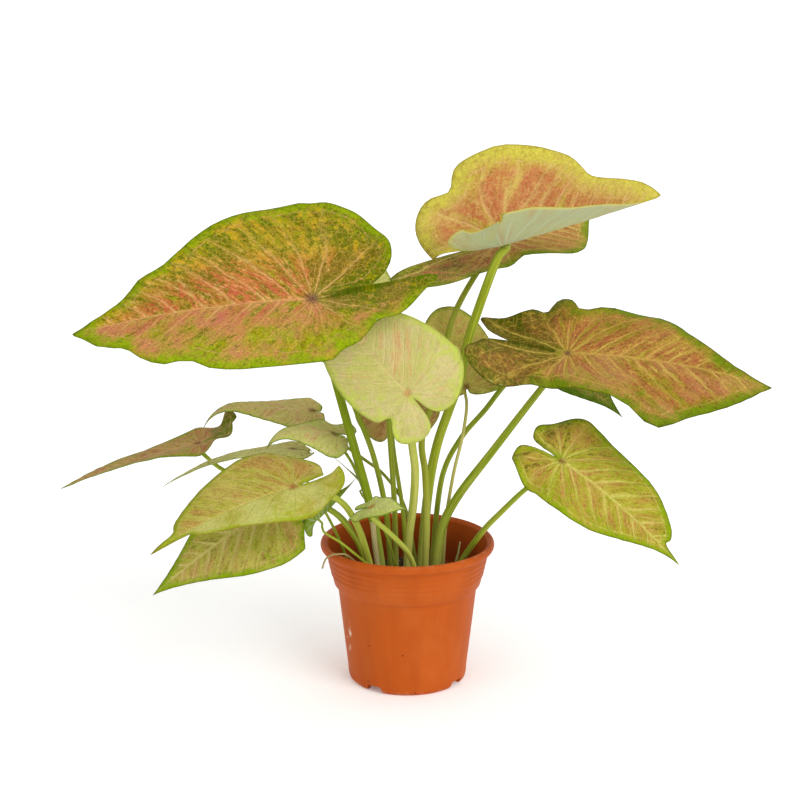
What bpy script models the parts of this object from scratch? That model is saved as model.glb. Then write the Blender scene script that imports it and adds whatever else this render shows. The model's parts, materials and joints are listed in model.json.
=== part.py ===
# Potted caladium: a plastic nursery pot, its soil, and twenty heart-shaped leaves on stalks.
# Run with: blender --background --python part.py
# Metres, +Z up. The origin is under the middle of the plant's outline, on the ground.
# +X is the right-hand side of the front view, and the front faces -Y.

import bpy
import bmesh
import numpy as np
from math import cos, exp, pi, radians, sin
from mathutils import noise, Vector

# Pot
POT_HEIGHT = 0.0997
LIP_RADIUS = 0.0600
LIP_DEPTH = 0.0062
COLLAR_TOP_RADIUS = 0.0562
COLLAR_FOOT_RADIUS = 0.0508
COLLAR_FOOT_Z = 0.0690
BODY_TOP_RADIUS = 0.0484
BODY_FOOT_RADIUS = 0.0414
BODY_FOOT_Z = 0.0080
STAND_RADIUS = 0.0392
STAND_WIDTH = 0.0030
UNDERSIDE_Z = 0.0045
FLOOR_Z = 0.0065
WALL = 0.0014
RIB_COUNT = 4
RIB_DEPTH = 0.0005
POT_SIDES = 48
NOTCH_COUNT = 4
NOTCH_WIDTH = 0.0118
NOTCH_HEIGHT = 0.0048
NOTCH_FIRST_ANGLE = radians(-34)
DRAIN_RADIUS = 0.0032
DRAIN_RING_RADIUS = 0.0240

# Soil
GAP = 0.0003
SOIL_Z = 0.0695
SOIL_ROUGHNESS = 0.0012
SOIL_SIDES = 36
SOIL_RINGS = 6
HOLE_SIDES = 10
FOOT_Z = 0.0520
FOOT_STRAIGHT_Z = 0.0720

# Leaves
BLADE_THICKNESS = 0.0008
SINUS_DEPTH = 0.16
WIDEST_SHARE = 0.98
SINUS_STRIP = 0.12
FOLD_EASE = 0.004
HOOK_START = 0.62
STALK_STEP = 0.013

# Half of a blade's outline, from the tip round one lobe to the sinus. The first number is along
# the midrib, in blade lengths before the stalk and in lobe lengths behind it, and the second is
# across, in half widths.
HALF_OUTLINE = (
    (1.00, 0.00), (0.93, 0.05), (0.80, 0.18), (0.60, 0.46), (0.36, 0.78), (0.08, WIDEST_SHARE),
    (-0.25, WIDEST_SHARE), (-0.62, 0.82), (-0.90, 0.57), (-1.00, 0.35), (-0.93, 0.15),
    (-0.66, 0.05),
    (-0.36, 0.02), (-SINUS_DEPTH, 0.00),
)

# What a leaf has unless it says otherwise. left and right are as seen from the stalk towards the
# tip, from above. Angles are in degrees, lengths in metres. A dent is its side (0 left, 1 right),
# its place along the half-outline from 0 at the tip to 1 at the sinus, its width there, and its
# depth as a share of the distance to the stalk. A notch is given in the same way, but its depth
# is a share of the distance to the midrib. A depth below 0 is a bulge. The lobe's inner edge,
# beside the sinus, turns up by sinus_lift.
USUAL_LEAF = dict(
    roll=0, droop=20, hook=0, twist=0,
    fold=(10, 10), curl=(-15, -15), lobe_droop=(15, 15),
    widest=(0.0, 0.0), lobe_taper=(0.0, 0.0), belly=(0.0, 0.0), blunt=(0.0, 0.0),
    dents=(), notches=(), sinus_lift=(0.0, 0.0),
    wave=0.0025, waves=5, wave_start=0.0,
    points=11, rings=3, thickness=BLADE_THICKNESS,
)

LEAVES = {
    "left_big": dict(
        stalk_at=(-0.062, -0.035, 0.275), tip=(-0.214, -0.060, 0.257), roll=-36, droop=18,
        half_width=(0.048, 0.080), lobe=(0.084, 0.060), fold=(12, 14), curl=(-18, -12),
        lobe_droop=(-30, -22), widest=(0.35, 0.0), belly=(0.35, 0.0), lobe_taper=(0.60, 0.0),
        wave=0.0030, waves=7, points=20, rings=4, blunt=(0.14, 0.03),
        sinus_lift=(0.009, 0.0),
        dents=((0, 0.14, 0.03, 0.015), (0, 0.25, 0.05, -0.03), (1, 0.79, 0.05, 0.16)),
        notches=((0, 0.14, 0.03, -0.50), (0, 0.228, 0.020, 0.16), (0, 0.30, 0.015, 0.12),
                 (0, 0.405, 0.025, -0.20), (0, 0.52, 0.06, 0.22), (1, 0.195, 0.025, -0.20),
                 (1, 0.45, 0.03, 0.03), (1, 0.57, 0.04, -0.06)),
        foot=(-0.018, -0.010), radius=(0.0027, 0.0032),
        route=((-0.056, -0.028, 0.253), (-0.048, -0.022, 0.218), (-0.039, -0.018, 0.182),
               (-0.028, -0.014, 0.139), (-0.022, -0.012, 0.110))),
    "top_right": dict(
        stalk_at=(0.065, 0.010, 0.304), tip=(0.168, 0.010, 0.336), roll=32, droop=-3,
        half_width=(0.068, 0.046), lobe=(0.050, 0.046), fold=(34, 74), curl=(-6, -10),
        lobe_droop=(36, -74), widest=(0.30, 0.0), lobe_taper=(0.0, 0.3), blunt=(0.15, 0.1),
        wave=0.0035, waves=6, wave_start=0.6, points=22, rings=4,
        dents=((0, 0.22, 0.06, 0.17), (0, 0.34, 0.04, -0.02), (0, 0.43, 0.05, 0.04),
               (0, 0.51, 0.028, 0.15), (0, 0.57, 0.04, -0.03), (1, 0.24, 0.06, -0.10),
               (1, 0.42, 0.03, -0.34)),
        foot=(0.010, 0.002), radius=(0.0030, 0.0034),
        route=((0.060, 0.008, 0.294), (0.051, 0.004, 0.271), (0.041, 0.005, 0.239),
               (0.036, 0.006, 0.212), (0.029, 0.006, 0.192), (0.020, 0.006, 0.164),
               (0.014, 0.004, 0.130))),
    "upper_middle": dict(
        stalk_at=(0.065, 0.066, 0.298), tip=(0.132, 0.100, 0.310), roll=18, droop=10, twist=8,
        half_width=(0.042, 0.038), lobe=(0.022, 0.092), fold=(8, 6), curl=(-10, -10),
        lobe_droop=(-20, -8), widest=(0.0, 0.30), belly=(0.0, 0.5), lobe_taper=(0.0, -0.9),
        dents=((1, 0.40, 0.07, 0.20), (1, 0.78, 0.08, -0.08)), points=18, rings=4,
        foot=(0.012, -0.022), radius=(0.0020, 0.0024),
        route=((0.050, 0.056, 0.278), (0.031, 0.038, 0.246), (0.021, 0.016, 0.206),
               (0.010, -0.002, 0.173), (0.012, -0.014, 0.150), (0.013, -0.020, 0.120))),
    "right_big": dict(
        stalk_at=(0.107, -0.010, 0.233), tip=(0.238, -0.040, 0.217), roll=32, droop=24, twist=-12,
        half_width=(0.052, 0.044), lobe=(0.058, 0.060), fold=(8, 12), curl=(-14, -32),
        lobe_droop=(-10, -56), widest=(0.0, 0.45), belly=(0.0, 0.45), sinus_lift=(0.0, 0.007),
        wave=0.0035, waves=7, points=24, rings=4,
        dents=((0, 0.30, 0.04, -0.10), (0, 0.395, 0.022, 0.22), (0, 0.415, 0.022, 0.06),
               (0, 0.462, 0.020, -0.06), (0, 0.505, 0.022, 0.12), (0, 0.565, 0.05, 0.17),
               (0, 0.67, 0.04, -0.14), (1, 0.38, 0.03, 0.14), (1, 0.43, 0.05, 0.29),
               (1, 0.47, 0.03, 0.10), (1, 0.51, 0.03, 0.05), (1, 0.60, 0.05, -0.34),
               (1, 0.74, 0.03, 0.06)),
        notches=((1, 0.320, 0.022, -0.20), (1, 0.357, 0.016, 0.12)),
        foot=(0.020, -0.005), radius=(0.0020, 0.0036),
        route=((0.098, -0.006, 0.218), (0.084, 0.000, 0.198), (0.058, 0.004, 0.161),
               (0.035, 0.002, 0.130), (0.024, 0.000, 0.108))),
    "right_under": dict(
        stalk_at=(0.092, 0.035, 0.222), tip=(0.147, 0.008, 0.184), roll=25,
        half_width=(0.030, 0.022), lobe=(0.020, 0.014),
        foot=(0.018, 0.018), radius=(0.0018, 0.0020),
        route=((0.083, 0.036, 0.214), (0.068, 0.034, 0.201), (0.054, 0.032, 0.183),
               (0.037, 0.029, 0.163), (0.024, 0.023, 0.136))),
    "right_low": dict(
        stalk_at=(0.101, -0.050, 0.170), tip=(0.176, -0.075, 0.107), roll=28, droop=22,
        half_width=(0.041, 0.034), lobe=(0.028, 0.030), fold=(8, 10), curl=(-16, -24),
        lobe_droop=(20, 20), widest=(0.30, 0.0), belly=(0.0, 0.3), waves=6, points=17, rings=4,
        dents=((0, 0.11, 0.05, 0.10),),
        foot=(0.036, -0.008), radius=(0.0015, 0.0024),
        route=((0.090, -0.044, 0.158), (0.077, -0.038, 0.146), (0.062, -0.028, 0.127),
               (0.052, -0.020, 0.113), (0.040, -0.011, 0.092))),
    "far_left": dict(
        stalk_at=(-0.143, 0.000, 0.168), tip=(-0.237, -0.005, 0.137), roll=-4, droop=14,
        half_width=(0.019, 0.020), lobe=(0.032, 0.032), fold=(6, 12), curl=(-10, -10),
        lobe_droop=(-44, -48), widest=(0.3, 0.3), lobe_taper=(0.0, -0.5), points=13, rings=3,
        foot=(-0.030, 0.006), radius=(0.0014, 0.0018),
        route=((-0.138, 0.003, 0.158), (-0.126, 0.006, 0.147), (-0.102, 0.008, 0.137),
               (-0.071, 0.006, 0.128), (-0.044, 0.005, 0.112))),
    "left_strip": dict(
        stalk_at=(-0.066, 0.020, 0.186), tip=(-0.140, 0.010, 0.176), roll=-12, droop=4, hook=75,
        half_width=(0.018, 0.018), lobe=(0.010, 0.008), fold=(-30, 6), wave=0.0015,
        foot=(-0.021, 0.008), radius=(0.0010, 0.0013),
        route=((-0.061, 0.017, 0.180), (-0.050, 0.012, 0.168), (-0.037, 0.009, 0.149),
               (-0.027, 0.008, 0.120))),
    "left_hooked": dict(
        stalk_at=(-0.050, -0.008, 0.177), tip=(-0.094, -0.028, 0.171), roll=-20, hook=80,
        half_width=(0.018, 0.016), lobe=(0.012, 0.020), fold=(-30, 6), lobe_droop=(15, -20),
        wave=0.0015,
        foot=(0.005, 0.020), radius=(0.0010, 0.0013),
        route=((-0.046, 0.000, 0.169), (-0.040, 0.004, 0.163), (-0.030, 0.013, 0.153),
               (-0.015, 0.021, 0.138), (-0.002, 0.023, 0.116))),
    "front_left": dict(
        stalk_at=(-0.074, -0.075, 0.160), tip=(-0.162, -0.110, 0.126), roll=-26, droop=26,
        half_width=(0.028, 0.044), lobe=(0.034, 0.028), fold=(10, 10), curl=(-20, -35),
        lobe_droop=(-46, 35), widest=(0.0, 0.15), wave=0.0025, points=16, rings=4,
        dents=((0, 0.13, 0.05, 0.14), (1, 0.13, 0.04, 0.08)),
        foot=(-0.024, -0.027), radius=(0.0018, 0.0028),
        route=((-0.067, -0.066, 0.154), (-0.056, -0.056, 0.149), (-0.047, -0.046, 0.143),
               (-0.039, -0.038, 0.132), (-0.031, -0.031, 0.112))),
    "low_left": dict(
        stalk_at=(-0.092, -0.035, 0.133), tip=(-0.167, -0.070, 0.084), roll=-30, droop=16,
        half_width=(0.045, 0.038), lobe=(0.012, 0.022), fold=(6, 6), curl=(-20, -20),
        lobe_droop=(20, 20), widest=(0.10, 0.0), dents=((0, 0.50, 0.12, 0.16),),
        points=15, rings=4,
        foot=(-0.028, -0.016), radius=(0.0014, 0.0016),
        route=((-0.082, -0.031, 0.131), (-0.070, -0.026, 0.132), (-0.058, -0.023, 0.130),
               (-0.046, -0.020, 0.121), (-0.034, -0.017, 0.102))),
    "left_narrow": dict(
        stalk_at=(-0.078, 0.000, 0.164), tip=(-0.166, -0.010, 0.140), roll=-2, droop=38,
        half_width=(0.016, 0.016), lobe=(0.014, 0.014), fold=(4, 4), wave=0.0015,
        foot=(-0.040, -0.008), radius=(0.0009, 0.0011),
        route=((-0.074, 0.000, 0.150), (-0.065, -0.002, 0.135), (-0.057, -0.005, 0.122),
               (-0.048, -0.007, 0.104))),
    "centre_pale": dict(
        stalk_at=(0.000, -0.045, 0.215), tip=(-0.050, -0.030, 0.263), roll=-68, droop=6,
        half_width=(0.035, 0.044), lobe=(0.029, 0.026), fold=(4, 4), curl=(-14, -14),
        lobe_droop=(8, 8), lobe_taper=(-0.1, 0.0), wave=0.0020, widest=(0.35, 0.10),
        blunt=(0.7, 0.7), points=15, rings=4,
        dents=((0, 0.46, 0.06, 0.42),),
        foot=(0.000, -0.014), radius=(0.0026, 0.0030),
        route=((0.001, -0.037, 0.198), (0.003, -0.030, 0.175), (0.005, -0.024, 0.156),
               (0.004, -0.019, 0.132), (0.001, -0.016, 0.106))),
    "centre_rear": dict(
        stalk_at=(0.041, 0.030, 0.200), tip=(0.029, 0.060, 0.251), droop=10,
        widest=(0.1, 0.1), blunt=(1.0, 1.0),
        half_width=(0.034, 0.030), lobe=(0.006, 0.006), fold=(6, 6), points=13, rings=3,
        foot=(0.025, 0.007), radius=(0.0011, 0.0013),
        route=((0.041, 0.024, 0.188), (0.038, 0.017, 0.168), (0.032, 0.013, 0.143),
               (0.027, 0.009, 0.112))),
    "centre_brown": dict(
        stalk_at=(-0.011, 0.032, 0.185), tip=(-0.011, 0.050, 0.234), droop=10,
        half_width=(0.026, 0.034), lobe=(0.024, 0.024), fold=(6, 6), points=13, rings=3,
        foot=(-0.001, 0.008), radius=(0.0014, 0.0016),
        route=((-0.011, 0.038, 0.170), (-0.009, 0.032, 0.150), (-0.003, 0.015, 0.114))),
    "rear_pale": dict(
        stalk_at=(-0.026, 0.035, 0.258), tip=(-0.020, 0.055, 0.291), droop=10,
        half_width=(0.020, 0.020), lobe=(0.010, 0.010), fold=(6, 6),
        foot=(-0.008, 0.011), radius=(0.0017, 0.0020),
        route=((-0.026, 0.037, 0.247), (-0.020, 0.024, 0.226), (-0.014, 0.014, 0.203),
               (-0.012, 0.010, 0.169), (-0.009, 0.010, 0.122))),
    "rear_tan": dict(
        stalk_at=(-0.045, 0.040, 0.222), tip=(-0.070, 0.060, 0.262), droop=10,
        half_width=(0.024, 0.024), lobe=(0.010, 0.010), fold=(6, 6),
        foot=(-0.012, 0.005), radius=(0.0018, 0.0020),
        route=((-0.044, 0.034, 0.208), (-0.037, 0.020, 0.190), (-0.024, 0.008, 0.159),
               (-0.015, 0.004, 0.120))),
    "front_small": dict(
        stalk_at=(-0.024, -0.052, 0.139), tip=(0.000, -0.072, 0.144), roll=26,
        half_width=(0.011, 0.014), lobe=(0.020, 0.020), fold=(10, 10), wave=0.0010,
        foot=(0.006, -0.031), radius=(0.0016, 0.0021),
        route=((-0.024, -0.049, 0.133), (-0.022, -0.046, 0.128), (-0.012, -0.040, 0.117),
               (0.001, -0.034, 0.100))),
    "rolled_young": dict(
        stalk_at=(-0.060, -0.034, 0.125), tip=(-0.035, -0.030, 0.152), droop=-10,
        half_width=(0.010, 0.010), lobe=(0.012, 0.012), fold=(60, 60), curl=(50, 50),
        lobe_droop=(60, 60), wave=0.0,
        foot=(-0.014, -0.035), radius=(0.0008, 0.0010),
        route=((-0.056, -0.040, 0.118), (-0.044, -0.040, 0.110), (-0.030, -0.038, 0.097))),
    "narrow_young": dict(
        stalk_at=(-0.029, -0.002, 0.137), tip=(-0.050, -0.007, 0.160), droop=10,
        half_width=(0.007, 0.007), lobe=(0.004, 0.004), fold=(30, 30), wave=0.0005,
        foot=(-0.008, -0.006), radius=(0.0008, 0.0010),
        route=((-0.026, 0.000, 0.124), (-0.015, -0.003, 0.104))),
}

# Stems without a blade: a dry one that lies over the lip, an old cut one and a young shoot
BARE_STEMS = {
    "dry_stem": dict(
        foot=(-0.027, -0.034), radius=(0.0006, 0.0008), sides=5,
        route=((-0.0575, -0.0310, 0.0890), (-0.0555, -0.0335, 0.0960), (-0.0510, -0.0380, 0.1010),
               (-0.0460, -0.0395, 0.1022), (-0.0410, -0.0380, 0.1012), (-0.0330, -0.0360, 0.0930))),
    "old_stem": dict(
        foot=(-0.020, -0.019), radius=(0.0018, 0.0021), sides=7,
        route=((-0.0235, -0.0200, 0.1180), (-0.0220, -0.0195, 0.1000))),
    "young_shoot": dict(
        foot=(0.034, 0.004), radius=(0.0005, 0.0020), sides=7,
        route=((0.0365, 0.0030, 0.0960), (0.0350, 0.0040, 0.0860))),
}


def clear_scene():
    for item in list(bpy.data.objects):
        bpy.data.objects.remove(item, do_unlink=True)


def material(name, colour, roughness):
    made = bpy.data.materials.new(name)
    made.use_nodes = True
    shader = made.node_tree.nodes["Principled BSDF"]
    shader.inputs["Base Color"].default_value = (*colour, 1.0)
    shader.inputs["Roughness"].default_value = roughness
    shader.inputs["Metallic"].default_value = 0.0
    return made


def add_object(name, mesh, finish):
    mesh.materials.append(finish)
    mesh.shade_smooth()
    mesh.set_sharp_from_angle(angle=radians(40))
    made = bpy.data.objects.new(name, mesh)
    bpy.context.scene.collection.objects.link(made)
    return made


def mesh_from(name, points, faces):
    mesh = bpy.data.meshes.new(name)
    mesh.from_pydata([tuple(p) for p in points], [], faces)
    mesh.validate()
    return mesh


def smooth_path(points, count):
    """count + 1 points along a Catmull-Rom curve through the given ones"""
    given = np.array(points, float)
    given = np.vstack([2 * given[0] - given[1], given, 2 * given[-1] - given[-2]])
    spans = len(given) - 3
    found = []
    for i in range(count + 1):
        u = spans * i / count
        k = min(int(u), spans - 1)
        t = u - k
        a, b, c, d = given[k:k + 4]
        found.append(0.5 * (2 * b + (c - a) * t + (2 * a - 5 * b + 4 * c - d) * t * t
                            + (3 * b - a - 3 * c + d) * t ** 3))
    return np.array(found)


# Blades

def bent(distance, start, turn, reach):
    """where a path gets to that leaves at angle start and turns evenly by turn over reach"""
    rate = turn / reach
    if abs(rate) < 1e-6:
        return distance * np.cos(start), distance * np.sin(start)
    end = start + rate * distance
    return (np.sin(end) - np.sin(start)) / rate, (np.cos(start) - np.cos(end)) / rate


def midrib(leaf, x):
    """along, height and slope of the midrib at the distance x before the stalk"""
    length = leaf["length"]
    droop, hook = radians(leaf["droop"]), radians(leaf["hook"])
    before = np.minimum(x, HOOK_START * length)
    past = np.maximum(x - HOOK_START * length, 0.0)
    along, height = bent(before, 0.0, -droop, length)
    slope = -droop * HOOK_START
    turn = -hook - droop * (1 - HOOK_START)
    more_along, more_height = bent(past, slope, turn, length * (1 - HOOK_START))
    tilt = -droop * before / length + turn * past / (length * (1 - HOOK_START))
    return along + more_along, height + more_height, tilt


def across(distance, fold, curl, width):
    """out and up over one half of the blade, whose fold comes in softly beside the midrib"""
    out = np.zeros_like(distance)
    up = np.zeros_like(distance)
    nodes, weights = np.polynomial.legendre.leggauss(7)
    for node, weight in zip(nodes, weights):
        s = distance * (node + 1) / 2
        angle = fold * (1 - np.exp(-s / FOLD_EASE)) + curl * s / width
        out += np.cos(angle) * weight * distance / 2
        up += np.sin(angle) * weight * distance / 2
    return out, up


def shape_blade(leaf, x, y, edge):
    """bends points of the flat blade into the leaf's own frame; edge runs from 0 inside to 1"""
    length = leaf["length"]
    is_left = y >= 0
    width = np.where(is_left, *leaf["half_width"])
    lobe = np.where(is_left, *leaf["lobe"])
    along, height, tilt = midrib(leaf, np.maximum(x, 0.0))
    behind = np.maximum(-x, 0.0)
    middle = 0.5 * sum(leaf["lobe_droop"])
    own = np.where(is_left, *leaf["lobe_droop"])
    share = np.minimum(1.0, np.abs(y) / (0.25 * width))
    lift = np.radians(middle + (own - middle) * share)
    rate = lift / lobe
    rate = np.where(np.abs(rate) < 1e-3, 1e-3, rate)
    along = np.where(x < 0, -np.sin(rate * behind) / rate, along)
    height = np.where(x < 0, (np.cos(rate * behind) - 1) / rate, height)
    tilt = np.where(x < 0, rate * behind, tilt)
    fold = np.radians(np.where(is_left, *leaf["fold"]))
    curl = np.radians(np.where(is_left, *leaf["curl"]))
    out, up = across(np.abs(y), fold, curl, width)
    out = np.where(is_left, out, -out)
    round_edge = np.arctan2(y, x + 0.15 * length)
    ease = edge ** 2 * np.minimum(1.0, np.abs(y) / (0.3 * width))
    up = up + leaf["wave"] * ease * np.sin(leaf["wave_start"] + leaf["waves"] * round_edge)
    beside = np.exp(-(y / (SINUS_STRIP * width)) ** 2) * np.minimum(1.0, behind / (0.3 * lobe))
    up = up + np.where(is_left, *leaf["sinus_lift"]) * edge * beside
    twist = radians(leaf["twist"]) * x / length
    out, up = out * np.cos(twist) - up * np.sin(twist), out * np.sin(twist) + up * np.cos(twist)
    return np.stack([along - np.sin(tilt) * up, out, height + np.cos(tilt) * up], -1)


def leaf_frame(leaf):
    """the axes along, left and up of the blade where the stalk meets it; sets its length"""
    start = np.array(leaf["stalk_at"])
    chord = np.array(leaf["tip"]) - start
    span = np.linalg.norm(chord)
    chord /= span
    leaf["length"] = 1.0
    reach, drop, _ = midrib(leaf, np.array(1.0))
    leaf["length"] = span / float(np.hypot(reach, drop))
    below = np.arctan2(drop, reach)
    left = np.cross((0.0, 0.0, 1.0), chord)
    left /= np.linalg.norm(left)
    up = np.cross(chord, left)
    roll = radians(leaf["roll"])
    left, up = left * cos(roll) + up * sin(roll), up * cos(roll) - left * sin(roll)
    along = chord * cos(below) - up * sin(below)
    up = up * cos(below) + chord * sin(below)
    return np.array([along, left, up])


def blade_outline(leaf):
    """the flat blade's outline, from the tip round the left lobe, the sinus and the right lobe"""
    halves = []
    for side, sign in ((0, 1), (1, -1)):
        half = []
        for i, (x, y) in enumerate(smooth_path(HALF_OUTLINE, leaf["points"])):
            if x > 0:
                round_y = WIDEST_SHARE * max(0.0, 1 - x * x) ** 0.5
                y += leaf["blunt"][side] * (round_y - y)
                y *= 1 + leaf["belly"][side] * sin(pi * x)
                x = leaf["length"] * (x + 2 * leaf["widest"][side] * x * (1 - x))
            else:
                y *= 1 - leaf["lobe_taper"][side] * x * x
                x *= leaf["lobe"][side]
            swell = 1.0
            for dent_side, place, width, depth in leaf["dents"]:
                if dent_side == side:
                    swell -= depth * exp(-((i / leaf["points"] - place) / width) ** 2)
            for notch_side, place, width, depth in leaf["notches"]:
                if notch_side == side:
                    y *= 1 - depth * exp(-((i / leaf["points"] - place) / width) ** 2)
            half.append((swell * x, swell * sign * y * leaf["half_width"][side]))
        halves.append(half)
    return np.array(halves[0] + halves[1][-2:0:-1])


def blade_points(leaf):
    """rings of points over the flat blade, bent into place, with their triangles"""
    frame = leaf_frame(leaf)
    outline = blade_outline(leaf)
    count = len(outline)
    edges = [0.0]
    flat = [np.zeros(2)]
    for ring in range(1, leaf["rings"] + 1):
        share = ring / leaf["rings"]
        edges += [share] * count
        flat += list(outline * share)
    flat = np.array(flat)
    shaped = shape_blade(leaf, flat[:, 0], flat[:, 1], np.array(edges))
    points = np.array(leaf["stalk_at"]) + shaped @ frame
    triangles = []
    for i in range(count):
        j = (i + 1) % count
        triangles.append((0, 1 + i, 1 + j))
        for ring in range(1, leaf["rings"]):
            inner = 1 + (ring - 1) * count
            outer = inner + count
            if i < count // 2:
                triangles += [(inner + i, outer + i, outer + j), (inner + i, outer + j, inner + j)]
            else:
                triangles += [(inner + i, outer + i, inner + j), (inner + j, outer + i, outer + j)]
    return points, triangles, count


def point_normals(points, triangles):
    normals = np.zeros_like(points)
    for a, b, c in triangles:
        face = np.cross(points[b] - points[a], points[c] - points[a])
        for k in (a, b, c):
            normals[k] += face
    return normals / np.linalg.norm(normals, axis=1)[:, None]


def make_blade(name, leaf, finish):
    points, triangles, count = blade_points(leaf)
    offset = point_normals(points, triangles) * leaf["thickness"] / 2
    total = len(points)
    faces = list(triangles)
    faces += [(c + total, b + total, a + total) for a, b, c in triangles]
    first = total - count
    for i in range(count):
        a = first + i
        b = first + (i + 1) % count
        faces += [(a, a + total, b + total), (a, b + total, b)]
    mesh = mesh_from(name, np.vstack([points + offset, points - offset]), faces)
    return add_object(name, mesh, finish)


# Stalks

def tube(name, path, radii, sides, finish, end_normal=None):
    """a closed tube along path, whose last ring can lie square to end_normal"""
    tangents = np.gradient(path, axis=0)
    tangents /= np.linalg.norm(tangents, axis=1)[:, None]
    if end_normal is not None:
        tangents[-1] = end_normal
    side = np.cross(tangents[0], (0.0, 1.0, 0.0))
    points = []
    for centre, tangent, radius in zip(path, tangents, radii):
        side = side - tangent * np.dot(side, tangent)
        side /= np.linalg.norm(side)
        other = np.cross(tangent, side)
        for k in range(sides):
            angle = 2 * pi * k / sides
            points.append(centre + radius * (cos(angle) * side + sin(angle) * other))
    faces = []
    for ring in range(len(path) - 1):
        for k in range(sides):
            a = ring * sides + k
            b = ring * sides + (k + 1) % sides
            faces += [(a, b, b + sides), (a, b + sides, a + sides)]
    last = (len(path) - 1) * sides
    faces.append(tuple(reversed(range(sides))))
    faces.append(tuple(range(last, last + sides)))
    return add_object(name, mesh_from(name, points, faces), finish)


def stem_path(foot, route, top):
    """from the foot of the hole straight up out of the soil, then back along the route"""
    x, y = foot
    heights = (FOOT_Z, FOOT_Z + 0.010, FOOT_STRAIGHT_Z, FOOT_STRAIGHT_Z + 0.010)
    points = [(x, y, z) for z in heights] + list(reversed(route)) + list(top)
    fine = smooth_path(points, 40 * len(points))
    walked = np.append(0.0, np.cumsum(np.linalg.norm(np.diff(fine, axis=0), axis=1)))
    stops = np.linspace(0.0, walked[-1], max(7, round(walked[-1] / STALK_STEP)))
    return np.array([[np.interp(stop, walked, fine[:, k]) for k in range(3)] for stop in stops])


def make_stalk(name, leaf, finish):
    up = leaf_frame(leaf)[2]
    droop_side = min(0.0, min(leaf["fold"]))
    lower = sin(radians(-droop_side)) * leaf["radius"][0]
    top = np.array(leaf["stalk_at"]) - up * (leaf["thickness"] / 2 + 1.3 * GAP + lower)
    path = stem_path(leaf["foot"], leaf["route"], [tuple(top)])
    radii = np.linspace(leaf["radius"][1], leaf["radius"][0], len(path))
    sides = 8 if leaf["radius"][0] > 0.0016 else 6
    return tube(name, path, radii, sides, finish, up)


def make_bare_stem(name, stem, finish):
    path = stem_path(stem["foot"], stem["route"], [])
    radii = np.linspace(stem["radius"][1], stem["radius"][0], len(path))
    return tube(name, path, radii, stem["sides"], finish)


# Pot and soil

def body_radius(z):
    """outer radius of the tapered body under the collar"""
    share = (z - BODY_FOOT_Z) / (COLLAR_FOOT_Z - BODY_FOOT_Z)
    return BODY_FOOT_RADIUS + (BODY_TOP_RADIUS - BODY_FOOT_RADIUS) * share


def collar_radius(z):
    share = (z - COLLAR_FOOT_Z) / (POT_HEIGHT - LIP_DEPTH - COLLAR_FOOT_Z)
    return COLLAR_FOOT_RADIUS + (COLLAR_TOP_RADIUS - COLLAR_FOOT_RADIUS) * share


def pot_profile():
    """radius and height round the wall's section, from the underside's centre"""
    lip_foot = POT_HEIGHT - LIP_DEPTH
    section = [(STAND_RADIUS - STAND_WIDTH, UNDERSIDE_Z), (STAND_RADIUS - STAND_WIDTH, 0.0),
               (STAND_RADIUS, 0.0), (STAND_RADIUS + 0.0014, 0.0016),
               (BODY_FOOT_RADIUS, BODY_FOOT_Z), (BODY_TOP_RADIUS, COLLAR_FOOT_Z - 0.0008),
               (COLLAR_FOOT_RADIUS, COLLAR_FOOT_Z)]
    rib_zone = np.linspace(COLLAR_FOOT_Z + 0.006, lip_foot - 0.003, 2 * RIB_COUNT + 1)
    for k, z in enumerate(rib_zone):
        section.append((collar_radius(z) + (RIB_DEPTH if k % 2 else 0.0), z))
    section.append((COLLAR_TOP_RADIUS, lip_foot))
    lip_middle = POT_HEIGHT - LIP_DEPTH / 2
    for k in range(6):
        angle = radians(-70 + 32 * k)
        section.append((LIP_RADIUS - 0.0024 + 0.0024 * cos(angle),
                        lip_middle + 0.5 * LIP_DEPTH * sin(angle)))
    section += [(collar_radius(lip_foot) - 0.0012, lip_middle),
                (COLLAR_FOOT_RADIUS - WALL, COLLAR_FOOT_Z + 0.0010),
                (BODY_TOP_RADIUS - WALL, COLLAR_FOOT_Z - 0.0004),
                (body_radius(0.0100) - WALL, 0.0100),
                (body_radius(0.0100) - WALL - 0.0022, FLOOR_Z)]
    return section


def turned_mesh(name, section, sides):
    """turns a section round Z and closes it on the axis at both ends"""
    points = [(0.0, 0.0, section[0][1])]
    for radius, z in section:
        for k in range(sides):
            angle = 2 * pi * k / sides
            points.append((radius * cos(angle), radius * sin(angle), z))
    points.append((0.0, 0.0, section[-1][1]))
    faces = []
    top = len(points) - 1
    for k in range(sides):
        j = (k + 1) % sides
        faces.append((0, 1 + j, 1 + k))
        for ring in range(len(section) - 1):
            a = 1 + ring * sides
            b = a + sides
            faces += [(a + k, a + j, b + j), (a + k, b + j, b + k)]
        last = 1 + (len(section) - 1) * sides
        faces.append((top, last + k, last + j))
    return mesh_from(name, points, faces)


def add_cylinder(work, centre, radius, bottom, top, sides):
    rings = []
    for z in (bottom, top):
        ring = []
        for k in range(sides):
            angle = 2 * pi * k / sides
            ring.append(work.verts.new((centre[0] + radius * cos(angle),
                                        centre[1] + radius * sin(angle), z)))
        rings.append(ring)
    for k in range(sides):
        j = (k + 1) % sides
        work.faces.new((rings[0][k], rings[0][j], rings[1][j], rings[1][k]))
    work.faces.new(list(reversed(rings[0])))
    work.faces.new(rings[1])


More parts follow.
